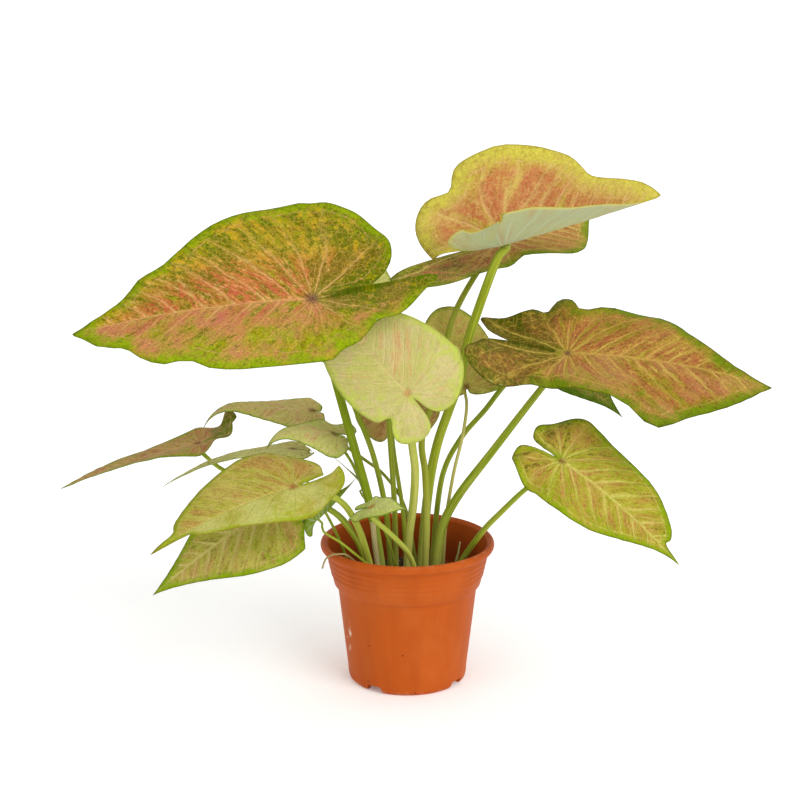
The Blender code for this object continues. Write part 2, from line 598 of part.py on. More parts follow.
def add_box(work, angle, near, far, width, bottom, top):
    """a box that reaches out from the axis towards angle, measured from the front"""
    outward = Vector((sin(angle), -cos(angle), 0.0))
    sideways = Vector((cos(angle), sin(angle), 0.0))
    corners = []
    for z in (bottom, top):
        for reach, half in ((near, -1), (far, -1), (far, 1), (near, 1)):
            corners.append(work.verts.new(outward * reach + sideways * half * width / 2
                                          + Vector((0.0, 0.0, z))))
    for a, b, c, d in ((3, 2, 1, 0), (4, 5, 6, 7), (0, 1, 5, 4), (1, 2, 6, 5), (2, 3, 7, 6),
                       (3, 0, 4, 7)):
        work.faces.new((corners[a], corners[b], corners[c], corners[d]))


def cut_with(target, work, name):
    """subtracts the shapes in work from target, and keeps them as a hidden guide"""
    mesh = bpy.data.meshes.new(name)
    work.to_mesh(mesh)
    work.free()
    cutter = bpy.data.objects.new(name, mesh)
    bpy.context.scene.collection.objects.link(cutter)
    cutter.hide_render = True
    cutter.display_type = "WIRE"
    boolean = target.modifiers.new(name, "BOOLEAN")
    boolean.operation = "DIFFERENCE"
    boolean.solver = "EXACT"
    boolean.object = cutter


def make_pot(finish):
    pot = add_object("pot", turned_mesh("pot", pot_profile(), POT_SIDES), finish)
    notches = bmesh.new()
    for k in range(NOTCH_COUNT):
        angle = NOTCH_FIRST_ANGLE + 2 * pi * k / NOTCH_COUNT
        add_box(notches, angle, STAND_RADIUS - 2 * STAND_WIDTH, STAND_RADIUS + STAND_WIDTH,
                NOTCH_WIDTH, -0.002, NOTCH_HEIGHT)
    cut_with(pot, notches, "stand_notches")
    drains = bmesh.new()
    add_cylinder(drains, (0.0, 0.0), DRAIN_RADIUS, UNDERSIDE_Z - 0.002, FLOOR_Z + 0.002, 12)
    for k in range(NOTCH_COUNT):
        angle = NOTCH_FIRST_ANGLE + 2 * pi * (k + 0.5) / NOTCH_COUNT
        centre = (DRAIN_RING_RADIUS * sin(angle), -DRAIN_RING_RADIUS * cos(angle))
        add_cylinder(drains, centre, DRAIN_RADIUS, UNDERSIDE_Z - 0.002, FLOOR_Z + 0.002, 12)
    cut_with(pot, drains, "drain_holes")
    return pot


def soil_profile():
    """the soil's side follows the pot's inside with a small gap"""
    return [(body_radius(0.0100) - WALL - 0.0022 - 2 * GAP, FLOOR_Z + GAP),
            (body_radius(0.0100) - WALL - 2 * GAP, 0.0102 + GAP),
            (BODY_TOP_RADIUS - WALL - 2 * GAP, COLLAR_FOOT_Z - 0.0008)]


def make_soil(finish):
    section = soil_profile()
    edge_radius = section[-1][0]
    for ring in range(SOIL_RINGS):
        section.append((edge_radius * (1 - ring / SOIL_RINGS) - 0.0006, SOIL_Z))
    mesh = turned_mesh("soil", section, SOIL_SIDES)
    for vertex in mesh.vertices:
        if vertex.co.z > SOIL_Z - 1e-6:
            spot = vertex.co * 90
            vertex.co.z += SOIL_ROUGHNESS * noise.noise(spot)
    soil = add_object("soil", mesh, finish)
    holes = bmesh.new()
    for stem in list(LEAVES.values()) + list(BARE_STEMS.values()):
        radius = (stem["radius"][1] + GAP) / cos(pi / HOLE_SIDES)
        add_cylinder(holes, stem["foot"], radius, FOOT_Z - GAP, SOIL_Z + 0.010, HOLE_SIDES)
    cut_with(soil, holes, "stem_holes")
    return soil


# Colours by leaf: blade, then stalk
LEAF_COLOURS = {
    "left_big": ((0.42, 0.38, 0.10), (0.20, 0.28, 0.04)),
    "top_right": ((0.55, 0.40, 0.13), (0.26, 0.32, 0.06)),
    "upper_middle": ((0.50, 0.34, 0.16), (0.24, 0.29, 0.06)),
    "right_big": ((0.40, 0.28, 0.11), (0.22, 0.28, 0.05)),
    "right_under": ((0.30, 0.36, 0.09), (0.22, 0.28, 0.05)),
    "right_low": ((0.52, 0.46, 0.14), (0.24, 0.31, 0.06)),
    "far_left": ((0.36, 0.25, 0.14), (0.28, 0.32, 0.08)),
    "left_strip": ((0.42, 0.33, 0.14), (0.24, 0.26, 0.06)),
    "left_hooked": ((0.48, 0.30, 0.17), (0.24, 0.26, 0.06)),
    "front_left": ((0.55, 0.50, 0.18), (0.30, 0.36, 0.08)),
    "low_left": ((0.48, 0.43, 0.16), (0.28, 0.32, 0.08)),
    "left_narrow": ((0.50, 0.50, 0.22), (0.26, 0.30, 0.08)),
    "centre_pale": ((0.62, 0.64, 0.26), (0.34, 0.38, 0.10)),
    "centre_rear": ((0.50, 0.46, 0.20), (0.44, 0.44, 0.20)),
    "centre_brown": ((0.40, 0.26, 0.12), (0.26, 0.29, 0.07)),
    "rear_pale": ((0.64, 0.66, 0.30), (0.28, 0.34, 0.08)),
    "rear_tan": ((0.42, 0.32, 0.14), (0.26, 0.32, 0.06)),
    "front_small": ((0.52, 0.58, 0.12), (0.32, 0.36, 0.10)),
    "rolled_young": ((0.20, 0.26, 0.05), (0.22, 0.29, 0.08)),
    "narrow_young": ((0.34, 0.36, 0.12), (0.26, 0.30, 0.08)),
}
BARE_STEM_COLOURS = {
    "dry_stem": (0.36, 0.28, 0.14),
    "old_stem": (0.50, 0.42, 0.24),
    "young_shoot": (0.46, 0.48, 0.20),
}
POT_COLOUR = (0.63, 0.122, 0.018)
SOIL_COLOUR = (0.035, 0.022, 0.014)


def main():
    clear_scene()
    make_pot(material("pot_plastic", POT_COLOUR, 0.45))
    make_soil(material("potting_soil", SOIL_COLOUR, 0.95))
    for name, given in LEAVES.items():
        leaf = {**USUAL_LEAF, **given}
        blade_colour, stalk_colour = LEAF_COLOURS[name]
        make_blade("blade_" + name, leaf, material("blade_" + name, blade_colour, 0.5))
        make_stalk("stalk_" + name, leaf, material("stalk_" + name, stalk_colour, 0.45))
    for name, stem in BARE_STEMS.items():
        make_bare_stem(name, stem, material(name, BARE_STEM_COLOURS[name], 0.6))


main()
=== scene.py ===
# Potted caladium: finer leaves, stalks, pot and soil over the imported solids.
# Metres, +Z up, front towards -Y; the tables of leaves and stems are in millimetres.
# A leaf's left and right are as seen from its stalk towards its tip, from above.

import bpy
import bmesh
import json
import numpy as np
from math import atan, cos, exp, pi, radians, sin
from mathutils import noise, Vector
from types import SimpleNamespace
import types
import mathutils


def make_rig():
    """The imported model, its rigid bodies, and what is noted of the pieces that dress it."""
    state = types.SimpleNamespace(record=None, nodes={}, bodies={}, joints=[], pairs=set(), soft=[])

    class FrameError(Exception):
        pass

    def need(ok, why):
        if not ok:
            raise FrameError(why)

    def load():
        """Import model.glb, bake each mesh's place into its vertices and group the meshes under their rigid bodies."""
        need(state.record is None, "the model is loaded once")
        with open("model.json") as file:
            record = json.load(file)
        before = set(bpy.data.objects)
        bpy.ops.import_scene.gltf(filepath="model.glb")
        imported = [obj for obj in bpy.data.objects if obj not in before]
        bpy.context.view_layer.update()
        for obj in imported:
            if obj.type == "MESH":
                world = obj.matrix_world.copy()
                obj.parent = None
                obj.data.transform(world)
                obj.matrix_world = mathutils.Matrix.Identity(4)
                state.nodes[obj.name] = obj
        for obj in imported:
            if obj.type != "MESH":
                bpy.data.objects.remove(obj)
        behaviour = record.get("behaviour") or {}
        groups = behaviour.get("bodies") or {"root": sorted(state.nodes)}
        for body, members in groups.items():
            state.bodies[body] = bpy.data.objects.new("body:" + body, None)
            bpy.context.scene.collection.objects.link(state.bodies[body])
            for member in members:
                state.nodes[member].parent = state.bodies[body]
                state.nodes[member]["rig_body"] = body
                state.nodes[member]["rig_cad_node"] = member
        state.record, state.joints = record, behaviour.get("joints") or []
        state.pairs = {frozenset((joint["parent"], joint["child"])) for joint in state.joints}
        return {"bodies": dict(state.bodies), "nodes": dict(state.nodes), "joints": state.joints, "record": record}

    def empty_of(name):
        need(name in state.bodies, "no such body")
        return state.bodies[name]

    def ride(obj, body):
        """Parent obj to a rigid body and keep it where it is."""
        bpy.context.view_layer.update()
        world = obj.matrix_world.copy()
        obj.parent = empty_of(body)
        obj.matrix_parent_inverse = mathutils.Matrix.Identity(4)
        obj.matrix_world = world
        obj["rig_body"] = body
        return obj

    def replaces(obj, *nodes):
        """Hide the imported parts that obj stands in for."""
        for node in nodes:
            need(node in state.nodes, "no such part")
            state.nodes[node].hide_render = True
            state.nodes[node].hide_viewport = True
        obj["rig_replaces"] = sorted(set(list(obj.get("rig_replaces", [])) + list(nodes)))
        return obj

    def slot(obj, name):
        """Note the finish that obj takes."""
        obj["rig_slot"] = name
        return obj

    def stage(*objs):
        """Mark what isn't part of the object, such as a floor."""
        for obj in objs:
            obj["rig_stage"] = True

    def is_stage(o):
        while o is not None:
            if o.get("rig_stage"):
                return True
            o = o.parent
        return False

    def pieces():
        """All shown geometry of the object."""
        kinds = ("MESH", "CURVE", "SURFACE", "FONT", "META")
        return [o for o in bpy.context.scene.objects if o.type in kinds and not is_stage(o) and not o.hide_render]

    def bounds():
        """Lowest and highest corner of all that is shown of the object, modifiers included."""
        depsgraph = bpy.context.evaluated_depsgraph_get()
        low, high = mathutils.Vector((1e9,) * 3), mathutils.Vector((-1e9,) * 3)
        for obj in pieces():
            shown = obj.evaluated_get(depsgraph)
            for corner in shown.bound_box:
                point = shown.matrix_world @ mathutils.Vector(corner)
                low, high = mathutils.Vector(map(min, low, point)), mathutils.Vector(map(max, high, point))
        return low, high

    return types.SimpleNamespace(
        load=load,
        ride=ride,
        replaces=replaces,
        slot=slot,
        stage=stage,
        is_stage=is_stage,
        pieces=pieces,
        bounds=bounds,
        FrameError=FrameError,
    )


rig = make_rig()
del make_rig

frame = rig.load()
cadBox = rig.bounds()


# Shared by all the materials and trees

def paint(red, green, blue):
    # a screen colour, 0 to 255, as the linear colour that sockets take
    tones = []
    for value in (red, green, blue):
        value /= 255
        tones.append(value / 12.92 if value <= 0.04045 else ((value + 0.055) / 1.055) ** 2.4)
    return (*tones, 1.0)


class Value:
    # a node's output; sums and products with it add maths nodes to its tree
    def __init__(self, socket):
        self.socket = socket
        self.tree = socket.id_data

    def __add__(self, other):
        return calc("ADD", self, other)

    def __sub__(self, other):
        return calc("SUBTRACT", self, other)

    def __rsub__(self, other):
        return calc("SUBTRACT", other, self)

    def __mul__(self, other):
        return calc("MULTIPLY", self, other)

    def __truediv__(self, other):
        return calc("DIVIDE", self, other)

    def __pow__(self, other):
        return calc("POWER", self, other)

    def __abs__(self):
        return calc("ABSOLUTE", self)

    def __round__(self):
        return calc("ROUND", self)


def setSockets(node, values):
    # numbers, colours or values, by the socket's name or place
    for key, value in values.items():
        if isinstance(value, Value):
            value.tree.links.new(value.socket, node.inputs[key])
        else:
            node.inputs[key].default_value = value


def addNode(kind, sockets=None, tree=None, **settings):
    # the tree is the one its values come from, unless given
    tree = tree or next(v.tree for v in sockets.values() if isinstance(v, Value))
    node = tree.nodes.new(kind)
    node.location = (190 * (len(tree.nodes) % 12), -260 * (len(tree.nodes) // 12))
    for name, value in settings.items():
        setattr(node, name, value)
    setSockets(node, sockets or {})
    return node


def addValue(kind, sockets=None, output=0, **settings):
    return Value(addNode(kind, sockets, **settings).outputs[output])


def calc(operation, first, second=0.0):
    return addValue("ShaderNodeMath", {0: first, 1: second}, operation=operation)


def larger(first, second):
    return calc("MAXIMUM", first, second)


def rise(value, low, high):
    # 0 below low, 1 above high, soft between
    return addValue("ShaderNodeMapRange", {0: value, 1: low, 2: high},
                    interpolation_type="SMOOTHSTEP")


def fall(value, low, high):
    return 1.0 - rise(value, low, high)


def blend(share, first, second, how="MIX"):
    return addValue("ShaderNodeMix", {0: share, 6: first, 7: second}, 2, data_type="RGBA",
                    blend_type=how)


def between(share, first, second):
    return addValue("ShaderNodeMix", {0: share, 2: first, 3: second})


def noiseAt(vector, scale, detail=2.0, roughness=0.5, distortion=0.0):
    return addValue("ShaderNodeTexNoise", {
        "Vector": vector, "Scale": scale, "Detail": detail, "Roughness": roughness,
        "Distortion": distortion})


def split(vector):
    return [Value(socket) for socket in addNode("ShaderNodeSeparateXYZ", {0: vector}).outputs]


def joined(x, y, z=0.0):
    return addValue("ShaderNodeCombineXYZ", {0: x, 1: y, 2: z})


def stored(tree, name, output="Vector"):
    return addValue("ShaderNodeAttribute", None, output, tree=tree, attribute_name=name)


def objectSpot(tree):
    return addValue("ShaderNodeTexCoord", None, "Object", tree=tree)


def byName(sockets):
    return SimpleNamespace(**{socket.name: Value(socket) for socket in sockets if socket.name})


def openTree(name, kind, inputs, outputs):
    # inputs and outputs are socket kinds by name; gives the tree, its inputs, its output node
    tree = bpy.data.node_groups.new(name, kind)
    for way, sockets in (("INPUT", inputs), ("OUTPUT", outputs)):
        for label, socket in sockets.items():
            tree.interface.new_socket(label, in_out=way, socket_type="NodeSocket" + socket)
    given = byName(tree.nodes.new("NodeGroupInput").outputs)
    return tree, given, tree.nodes.new("NodeGroupOutput")


def newGroup(name, colours, numbers):
    # a shader group that gives a colour, a roughness and a height for a bump
    inputs = {**dict.fromkeys(colours.split(), "Color"), **dict.fromkeys(numbers.split(), "Float")}
    return openTree(name, "ShaderNodeTree", inputs, {
        "colour": "Color", "roughness": "Float", "height": "Float"})


def newTree(name, numbers, whole):
    # Geometry Nodes that take numbers, a whole number and a material
    return openTree(name, "GeometryNodeTree", {
        "geometry": "Geometry", **dict.fromkeys(numbers.split(), "Float"), whole: "Int",
        "material": "Material"}, {"geometry": "Geometry"})


def closeTree(made, given, leave):
    real = addValue("GeometryNodeRealizeInstances", {0: made})
    setSockets(leave, {0: addValue("GeometryNodeSetMaterial", {
        "Geometry": real, "Material": given.material})})


def addGroup(tree, group, values):
    # sets the group's inputs from values that may hold more; gives its outputs
    labels = [item.name for item in group.interface.items_tree if item.in_out == "INPUT"]
    node = addNode("ShaderNodeGroup", {label: values[label] for label in labels}, tree,
                   node_tree=group)
    return byName(node.outputs)


def newMaterial(name):
    material = bpy.data.materials.new(name)
    material.use_nodes = True
    return material, material.node_tree, material.node_tree.nodes["Principled BSDF"]


def dress(shader, skin, strength, distance, specular=0.5):
    bump = addValue("ShaderNodeBump", {"Strength": strength, "Distance": distance,
                                       "Height": skin.height})
    setSockets(shader, {"Base Color": skin.colour, "Roughness": skin.roughness,
                        "Specular IOR Level": specular, "Normal": bump})


def groupMaterial(name, group, values, strength, distance, specular=0.5):
    # a material that one group colours; strength and distance are its bump's
    material, tree, shader = newMaterial(name)
    dress(shader, addGroup(tree, group, values), strength, distance, specular)
    return material


def painted(look):
    return {key: paint(*tone) for key, tone in look.items()}


def newObject(name, data):
    made = bpy.data.objects.new(name, data)
    bpy.context.scene.collection.objects.link(made)
    return made


def addPiece(name, mesh, node, slot, materials=()):
    for material in materials:
        mesh.materials.append(material)
    piece = newObject(name, mesh)
    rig.ride(piece, "root")
    if node:
        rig.replaces(piece, node)
    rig.slot(piece, slot)


def meshFrom(name, points, faces):
    mesh = bpy.data.meshes.new(name)
    mesh.from_pydata([tuple(p) for p in points], [], [tuple(f) for f in faces])
    mesh.validate()
    mesh.shade_smooth()
    return mesh


def storeVectors(mesh, name, values):
    # the same for the upper and the lower points
    layer = mesh.attributes.new(name, "FLOAT_VECTOR", "POINT")
    both = np.tile(np.stack(values, 1), (2, 1))
    layer.data.foreach_set("vector", both.astype(np.float32).ravel())


def evaluated(piece):
    # the piece's mesh with its modifiers applied, and the piece removed
    bpy.context.view_layer.update()
    graph = bpy.context.evaluated_depsgraph_get()
    mesh = bpy.data.meshes.new_from_object(piece.evaluated_get(graph), depsgraph=graph)
    bpy.data.objects.remove(piece, do_unlink=True)
    return mesh


def grown(piece, mesh, tree, values):
    # what a Geometry Nodes tree makes of the mesh
    carrier = newObject(piece + "_carrier", mesh)
    modifier = carrier.modifiers.new("Grown", "NODES")
    modifier.node_group = tree
    for item in tree.interface.items_tree:
        if item.in_out == "INPUT" and item.name in values:
            modifier[item.identifier] = values[item.name]
    made = evaluated(carrier)
    made.name = piece
    made.shade_smooth()
    return made


def curveThrough(points, count):
    # count + 1 points along a Catmull-Rom curve
    given = np.array(points, float)
    given = np.vstack([2 * given[0] - given[1], given, 2 * given[-1] - given[-2]])
    spans = len(given) - 3
    found = []
    for i in range(count + 1):
        u = spans * i / count
        k = min(int(u), spans - 1)
        t = u - k
        a, b, c, d = given[k:k + 4]
        found.append(0.5 * (2 * b + (c - a) * t + (2 * a - 5 * b + 4 * c - d) * t * t
                            + (3 * b - a - 3 * c + d) * t ** 3))
    return np.array(found)


# Leaves: their shapes

millimetres = ("stalkAt", "tip", "halfWidth", "lobe", "sinusLift", "wave", "foot", "radius",
               "route", "marginWidth", "veinWidth", "jointSize")
bothSides = ("halfWidth", "lobe", "fold", "curl", "lobeDroop", "widest", "lobeTaper", "belly",
             "blunt", "sinusLift", "flushAmount", "patchAmount", "hazeAmount")


def inMetres(value):
    return tuple(map(inMetres, value)) if isinstance(value, tuple) else value / 1000


def readTable(usual, own):
    # the row with its lengths in metres, and a number for each side
    row = {**usual, **own}
    for key, value in row.items():
        if key in bothSides and not isinstance(value, tuple):
            value = (value, value)
        row[key] = inMetres(value) if key in millimetres else value
    return row


# half of a blade's outline from the tip round one lobe to the sinus: along the midrib in blade
# lengths before the stalk and lobe lengths behind it, and across in half widths
halfOutline = (
    (1.00, 0.00), (0.93, 0.05), (0.80, 0.18), (0.60, 0.46), (0.36, 0.78), (0.08, 0.98),
    (-0.25, 0.98), (-0.62, 0.82), (-0.90, 0.57), (-1.00, 0.35), (-0.93, 0.15), (-0.66, 0.05),
    (-0.36, 0.02), (-0.16, 0.00),
)

# what a leaf has unless it says otherwise, in degrees and millimetres, with one number for both
# sides or one for each. A dent is its side (0 left, 1 right), its place from 0 at the tip to 1
# at the sinus, its width there, and its depth as a share of the distance to the stalk; below 0
# it is a bulge. A notch's depth is a share of the distance to the midrib. sinusLift turns up
# the lobe's edge beside the sinus. foot is where the stalk stands in the soil, and route
# follows the stalk down from the blade.
usualShape = dict(
    roll=0, droop=20, hook=0, twist=0, fold=10, curl=-15, lobeDroop=15, widest=0, lobeTaper=0,
    belly=0, blunt=0, dents=(), notches=(), sinusLift=0, wave=2.5, waves=5, waveStart=0,
)

leafShapes = {
    "left_big": dict(
        stalkAt=(-62, -35, 275), tip=(-214, -60, 257), roll=-36, droop=18, halfWidth=(48, 80),
        lobe=(84, 60), fold=(12, 14), curl=(-18, -12), lobeDroop=(-30, -22), widest=(0.35, 0),
        belly=(0.35, 0), lobeTaper=(0.6, 0), wave=3, waves=7, blunt=(0.14, 0.03),
        sinusLift=(9, 0), foot=(-18, -10), radius=(2.7, 3.2),
        dents=((0, 0.14, 0.03, 0.015), (0, 0.25, 0.05, -0.03), (1, 0.79, 0.05, 0.16)),
        notches=((0, 0.14, 0.03, -0.5), (0, 0.228, 0.02, 0.16), (0, 0.3, 0.015, 0.12),
            (0, 0.405, 0.025, -0.2), (0, 0.52, 0.06, 0.22), (1, 0.195, 0.025, -0.2),
            (1, 0.45, 0.03, 0.03), (1, 0.57, 0.04, -0.06)),
        route=((-56, -28, 253), (-48, -22, 218), (-39, -18, 182), (-28, -14, 139),
            (-22, -12, 110))),
    "top_right": dict(
        stalkAt=(65, 10, 304), tip=(168, 10, 336), roll=32, droop=-3, halfWidth=(68, 46),
        lobe=(50, 46), fold=(34, 74), curl=(-6, -10), lobeDroop=(36, -74), widest=(0.3, 0),
        lobeTaper=(0, 0.3), blunt=(0.15, 0.1), wave=3.5, waves=6, waveStart=0.6, foot=(10, 2),
        radius=(3, 3.4),
        dents=((0, 0.22, 0.06, 0.17), (0, 0.34, 0.04, -0.02), (0, 0.43, 0.05, 0.04),
            (0, 0.51, 0.028, 0.15), (0, 0.57, 0.04, -0.03), (1, 0.24, 0.06, -0.1),
            (1, 0.42, 0.03, -0.34)),
        route=((60, 8, 294), (51, 4, 271), (41, 5, 239), (36, 6, 212), (29, 6, 192), (20, 6, 164),
            (14, 4, 130))),
    "upper_middle": dict(
        stalkAt=(65, 66, 298), tip=(132, 100, 310), roll=18, droop=10, twist=8,
        halfWidth=(42, 38), lobe=(22, 92), fold=(8, 6), curl=-10, lobeDroop=(-20, -8),
        widest=(0, 0.3), belly=(0, 0.5), lobeTaper=(0, -0.9), foot=(12, -22), radius=(2, 2.4),
        dents=((1, 0.4, 0.07, 0.2), (1, 0.78, 0.08, -0.08)),
        route=((50, 56, 278), (31, 38, 246), (21, 16, 206), (10, -2, 173), (12, -14, 150),
            (13, -20, 120))),
    "right_big": dict(
        stalkAt=(107, -10, 233), tip=(238, -40, 217), roll=32, droop=24, twist=-12,
        halfWidth=(52, 44), lobe=(58, 60), fold=(8, 12), curl=(-14, -32), lobeDroop=(-10, -56),
        widest=(0, 0.45), belly=(0, 0.45), sinusLift=(0, 7), wave=3.5, waves=7, foot=(20, -5),
        radius=(2, 3.6),
        dents=((0, 0.3, 0.04, -0.1), (0, 0.395, 0.022, 0.22), (0, 0.415, 0.022, 0.06),
            (0, 0.462, 0.02, -0.06), (0, 0.505, 0.022, 0.12), (0, 0.565, 0.05, 0.17),
            (0, 0.67, 0.04, -0.14), (1, 0.38, 0.03, 0.14), (1, 0.43, 0.05, 0.29),
            (1, 0.47, 0.03, 0.1), (1, 0.51, 0.03, 0.05), (1, 0.6, 0.05, -0.34),
            (1, 0.74, 0.03, 0.06)),
        notches=((1, 0.32, 0.022, -0.2), (1, 0.357, 0.016, 0.12)),
        route=((98, -6, 218), (84, 0, 198), (58, 4, 161), (35, 2, 130), (24, 0, 108))),
    "right_under": dict(
        stalkAt=(92, 35, 222), tip=(147, 8, 184), roll=25, halfWidth=(30, 22), lobe=(20, 14),
        foot=(18, 18), radius=(1.8, 2),
        route=((83, 36, 214), (68, 34, 201), (54, 32, 183), (37, 29, 163), (24, 23, 136))),
    "right_low": dict(
        stalkAt=(101, -50, 170), tip=(176, -75, 107), roll=28, droop=22, halfWidth=(41, 34),
        lobe=(28, 30), fold=(8, 10), curl=(-16, -24), lobeDroop=20, widest=(0.3, 0),
        belly=(0, 0.3), waves=6, foot=(36, -8), radius=(1.5, 2.4),
        dents=((0, 0.11, 0.05, 0.1),),
        route=((90, -44, 158), (77, -38, 146), (62, -28, 127), (52, -20, 113), (40, -11, 92))),
    "far_left": dict(
        stalkAt=(-143, 0, 168), tip=(-237, -5, 137), roll=-4, droop=14, halfWidth=(19, 20),
        lobe=32, fold=(6, 12), curl=-10, lobeDroop=(-44, -48), widest=0.3, lobeTaper=(0, -0.5),
        foot=(-30, 6), radius=(1.4, 1.8),
        route=((-138, 3, 158), (-126, 6, 147), (-102, 8, 137), (-71, 6, 128), (-44, 5, 112))),
    "left_strip": dict(
        stalkAt=(-66, 20, 186), tip=(-140, 10, 176), roll=-12, droop=4, hook=75, halfWidth=18,
        lobe=(10, 8), fold=(-30, 6), wave=1.5, foot=(-21, 8), radius=(1, 1.3),
        route=((-61, 17, 180), (-50, 12, 168), (-37, 9, 149), (-27, 8, 120))),
    "left_hooked": dict(
        stalkAt=(-50, -8, 177), tip=(-94, -28, 171), roll=-20, hook=80, halfWidth=(18, 16),
        lobe=(12, 20), fold=(-30, 6), lobeDroop=(15, -20), wave=1.5, foot=(5, 20), radius=(1, 1.3),
        route=((-46, 0, 169), (-40, 4, 163), (-30, 13, 153), (-15, 21, 138), (-2, 23, 116))),
    "front_left": dict(
        stalkAt=(-74, -75, 160), tip=(-162, -110, 126), roll=-26, droop=26, halfWidth=(28, 44),
        lobe=(34, 28), fold=10, curl=(-20, -35), lobeDroop=(-46, 35), widest=(0, 0.15), wave=2.5,
        foot=(-24, -27), radius=(1.8, 2.8),
        dents=((0, 0.13, 0.05, 0.14), (1, 0.13, 0.04, 0.08)),
        route=((-67, -66, 154), (-56, -56, 149), (-47, -46, 143), (-39, -38, 132),
            (-31, -31, 112))),
    "low_left": dict(
        stalkAt=(-92, -35, 133), tip=(-167, -70, 84), roll=-30, droop=16, halfWidth=(45, 38),
        lobe=(12, 22), fold=6, curl=-20, lobeDroop=20, widest=(0.1, 0), foot=(-28, -16),
        radius=(1.4, 1.6),
        dents=((0, 0.5, 0.12, 0.16),),
        route=((-82, -31, 131), (-70, -26, 132), (-58, -23, 130), (-46, -20, 121),
            (-34, -17, 102))),
    "left_narrow": dict(
        stalkAt=(-78, 0, 164), tip=(-166, -10, 140), roll=-2, droop=38, halfWidth=16, lobe=14,
        fold=4, wave=1.5, foot=(-40, -8), radius=(0.9, 1.1),
        route=((-74, 0, 150), (-65, -2, 135), (-57, -5, 122), (-48, -7, 104))),
    "centre_pale": dict(
        stalkAt=(0, -45, 215), tip=(-50, -30, 263), roll=-68, droop=6, halfWidth=(35, 44),
        lobe=(29, 26), fold=4, curl=-14, lobeDroop=8, lobeTaper=(-0.1, 0), wave=2,
        widest=(0.35, 0.1), blunt=0.7, foot=(0, -14), radius=(2.6, 3),
        dents=((0, 0.46, 0.06, 0.42),),
        route=((1, -37, 198), (3, -30, 175), (5, -24, 156), (4, -19, 132), (1, -16, 106))),
    "centre_rear": dict(
        stalkAt=(41, 30, 200), tip=(29, 60, 251), droop=10, widest=0.1, blunt=1,
        halfWidth=(34, 30), lobe=6, fold=6, foot=(25, 7), radius=(1.1, 1.3),
        route=((41, 24, 188), (38, 17, 168), (32, 13, 143), (27, 9, 112))),
    "centre_brown": dict(
        stalkAt=(-11, 32, 185), tip=(-11, 50, 234), droop=10, halfWidth=(26, 34), lobe=24, fold=6,
        foot=(-1, 8), radius=(1.4, 1.6),
        route=((-11, 38, 170), (-9, 32, 150), (-3, 15, 114))),
    "rear_pale": dict(
        stalkAt=(-26, 35, 258), tip=(-20, 55, 291), droop=10, halfWidth=20, lobe=10, fold=6,
        foot=(-8, 11), radius=(1.7, 2),
        route=((-26, 37, 247), (-20, 24, 226), (-14, 14, 203), (-12, 10, 169), (-9, 10, 122))),
    "rear_tan": dict(
        stalkAt=(-45, 40, 222), tip=(-70, 60, 262), droop=10, halfWidth=24, lobe=10, fold=6,
        foot=(-12, 5), radius=(1.8, 2),
        route=((-44, 34, 208), (-37, 20, 190), (-24, 8, 159), (-15, 4, 120))),
    "front_small": dict(
        stalkAt=(-24, -52, 139), tip=(0, -72, 144), roll=26, halfWidth=(11, 14), lobe=20, fold=10,
        wave=1, foot=(6, -31), radius=(1.6, 2.1),
        route=((-24, -49, 133), (-22, -46, 128), (-12, -40, 117), (1, -34, 100))),
    "rolled_young": dict(
        stalkAt=(-60, -34, 125), tip=(-35, -30, 152), droop=-10, halfWidth=10, lobe=12, fold=60,
        curl=50, lobeDroop=60, wave=0, foot=(-14, -35), radius=(0.8, 1),
        route=((-56, -40, 118), (-44, -40, 110), (-30, -38, 97))),
    "narrow_young": dict(
        stalkAt=(-29, -2, 137), tip=(-50, -7, 160), droop=10, halfWidth=7, lobe=4, fold=30,
        wave=0.5, foot=(-8, -6), radius=(0.8, 1),
        route=((-26, 0, 124), (-15, -3, 104))),
}

# stems without a blade: a dry one over the lip, an old cut one and a young shoot
bareStems = {
    "dry_stem": dict(
        foot=(-27, -34), radius=(0.6, 0.8),
        route=((-57.5, -31, 89), (-55.5, -33.5, 96), (-51, -38, 101), (-46, -39.5, 102.2),
            (-41, -38, 101.2), (-33, -36, 93))),
    "old_stem": dict(
        foot=(-20, -19), radius=(1.8, 2.1),
        route=((-23.5, -20, 118), (-22, -19.5, 100))),
    "young_shoot": dict(
        foot=(34, 4), radius=(0.5, 2),
        route=((36.5, 3, 96), (35, 4, 86))),
}


# how finely the blades are made, and their relief, in metres
bladeDetail = dict(
    points=72, rings=18, crowding=1.35,
    thickness=0.0005, rimThickness=0.0003,
    ribHeight=0.0011, ribWidth=0.0012, grooveDepth=0.0004,
    quilt=0.00045, ripple=0.0007, rippleLength=0.017,
    veinSpacing=0.125, veinLean=0.80, veinBend=0.28, basalAngle=27,
    hookStart=0.62, sinusStrip=0.12, foldReach=0.004, rimBlend=0.006, ribBlend=0.004,
    grooveWidth=0.0010,
)
blade = SimpleNamespace(**bladeDetail)


def bentPath(distance, start, turn, reach):
    # where a path gets to that leaves at angle start and turns evenly by turn over reach
    rate = turn / reach
    if abs(rate) < 1e-6:
        return distance * np.cos(start), distance * np.sin(start)
    end = start + rate * distance
    return (np.sin(end) - np.sin(start)) / rate, (np.cos(start) - np.cos(end)) / rate


def midrib(leaf, x):
    # along, height and slope at the distance x before the stalk
    length, start = leaf["length"], blade.hookStart
    droop, hook = radians(leaf["droop"]), radians(leaf["hook"])
    before = np.minimum(x, start * length)
    past = np.maximum(x - start * length, 0.0)
    along, height = bentPath(before, 0.0, -droop, length)
    turn = -hook - droop * (1 - start)
    moreAlong, moreHeight = bentPath(past, -droop * start, turn, length * (1 - start))
    tilt = -droop * before / length + turn * past / (length * (1 - start))
    return along + moreAlong, height + moreHeight, tilt


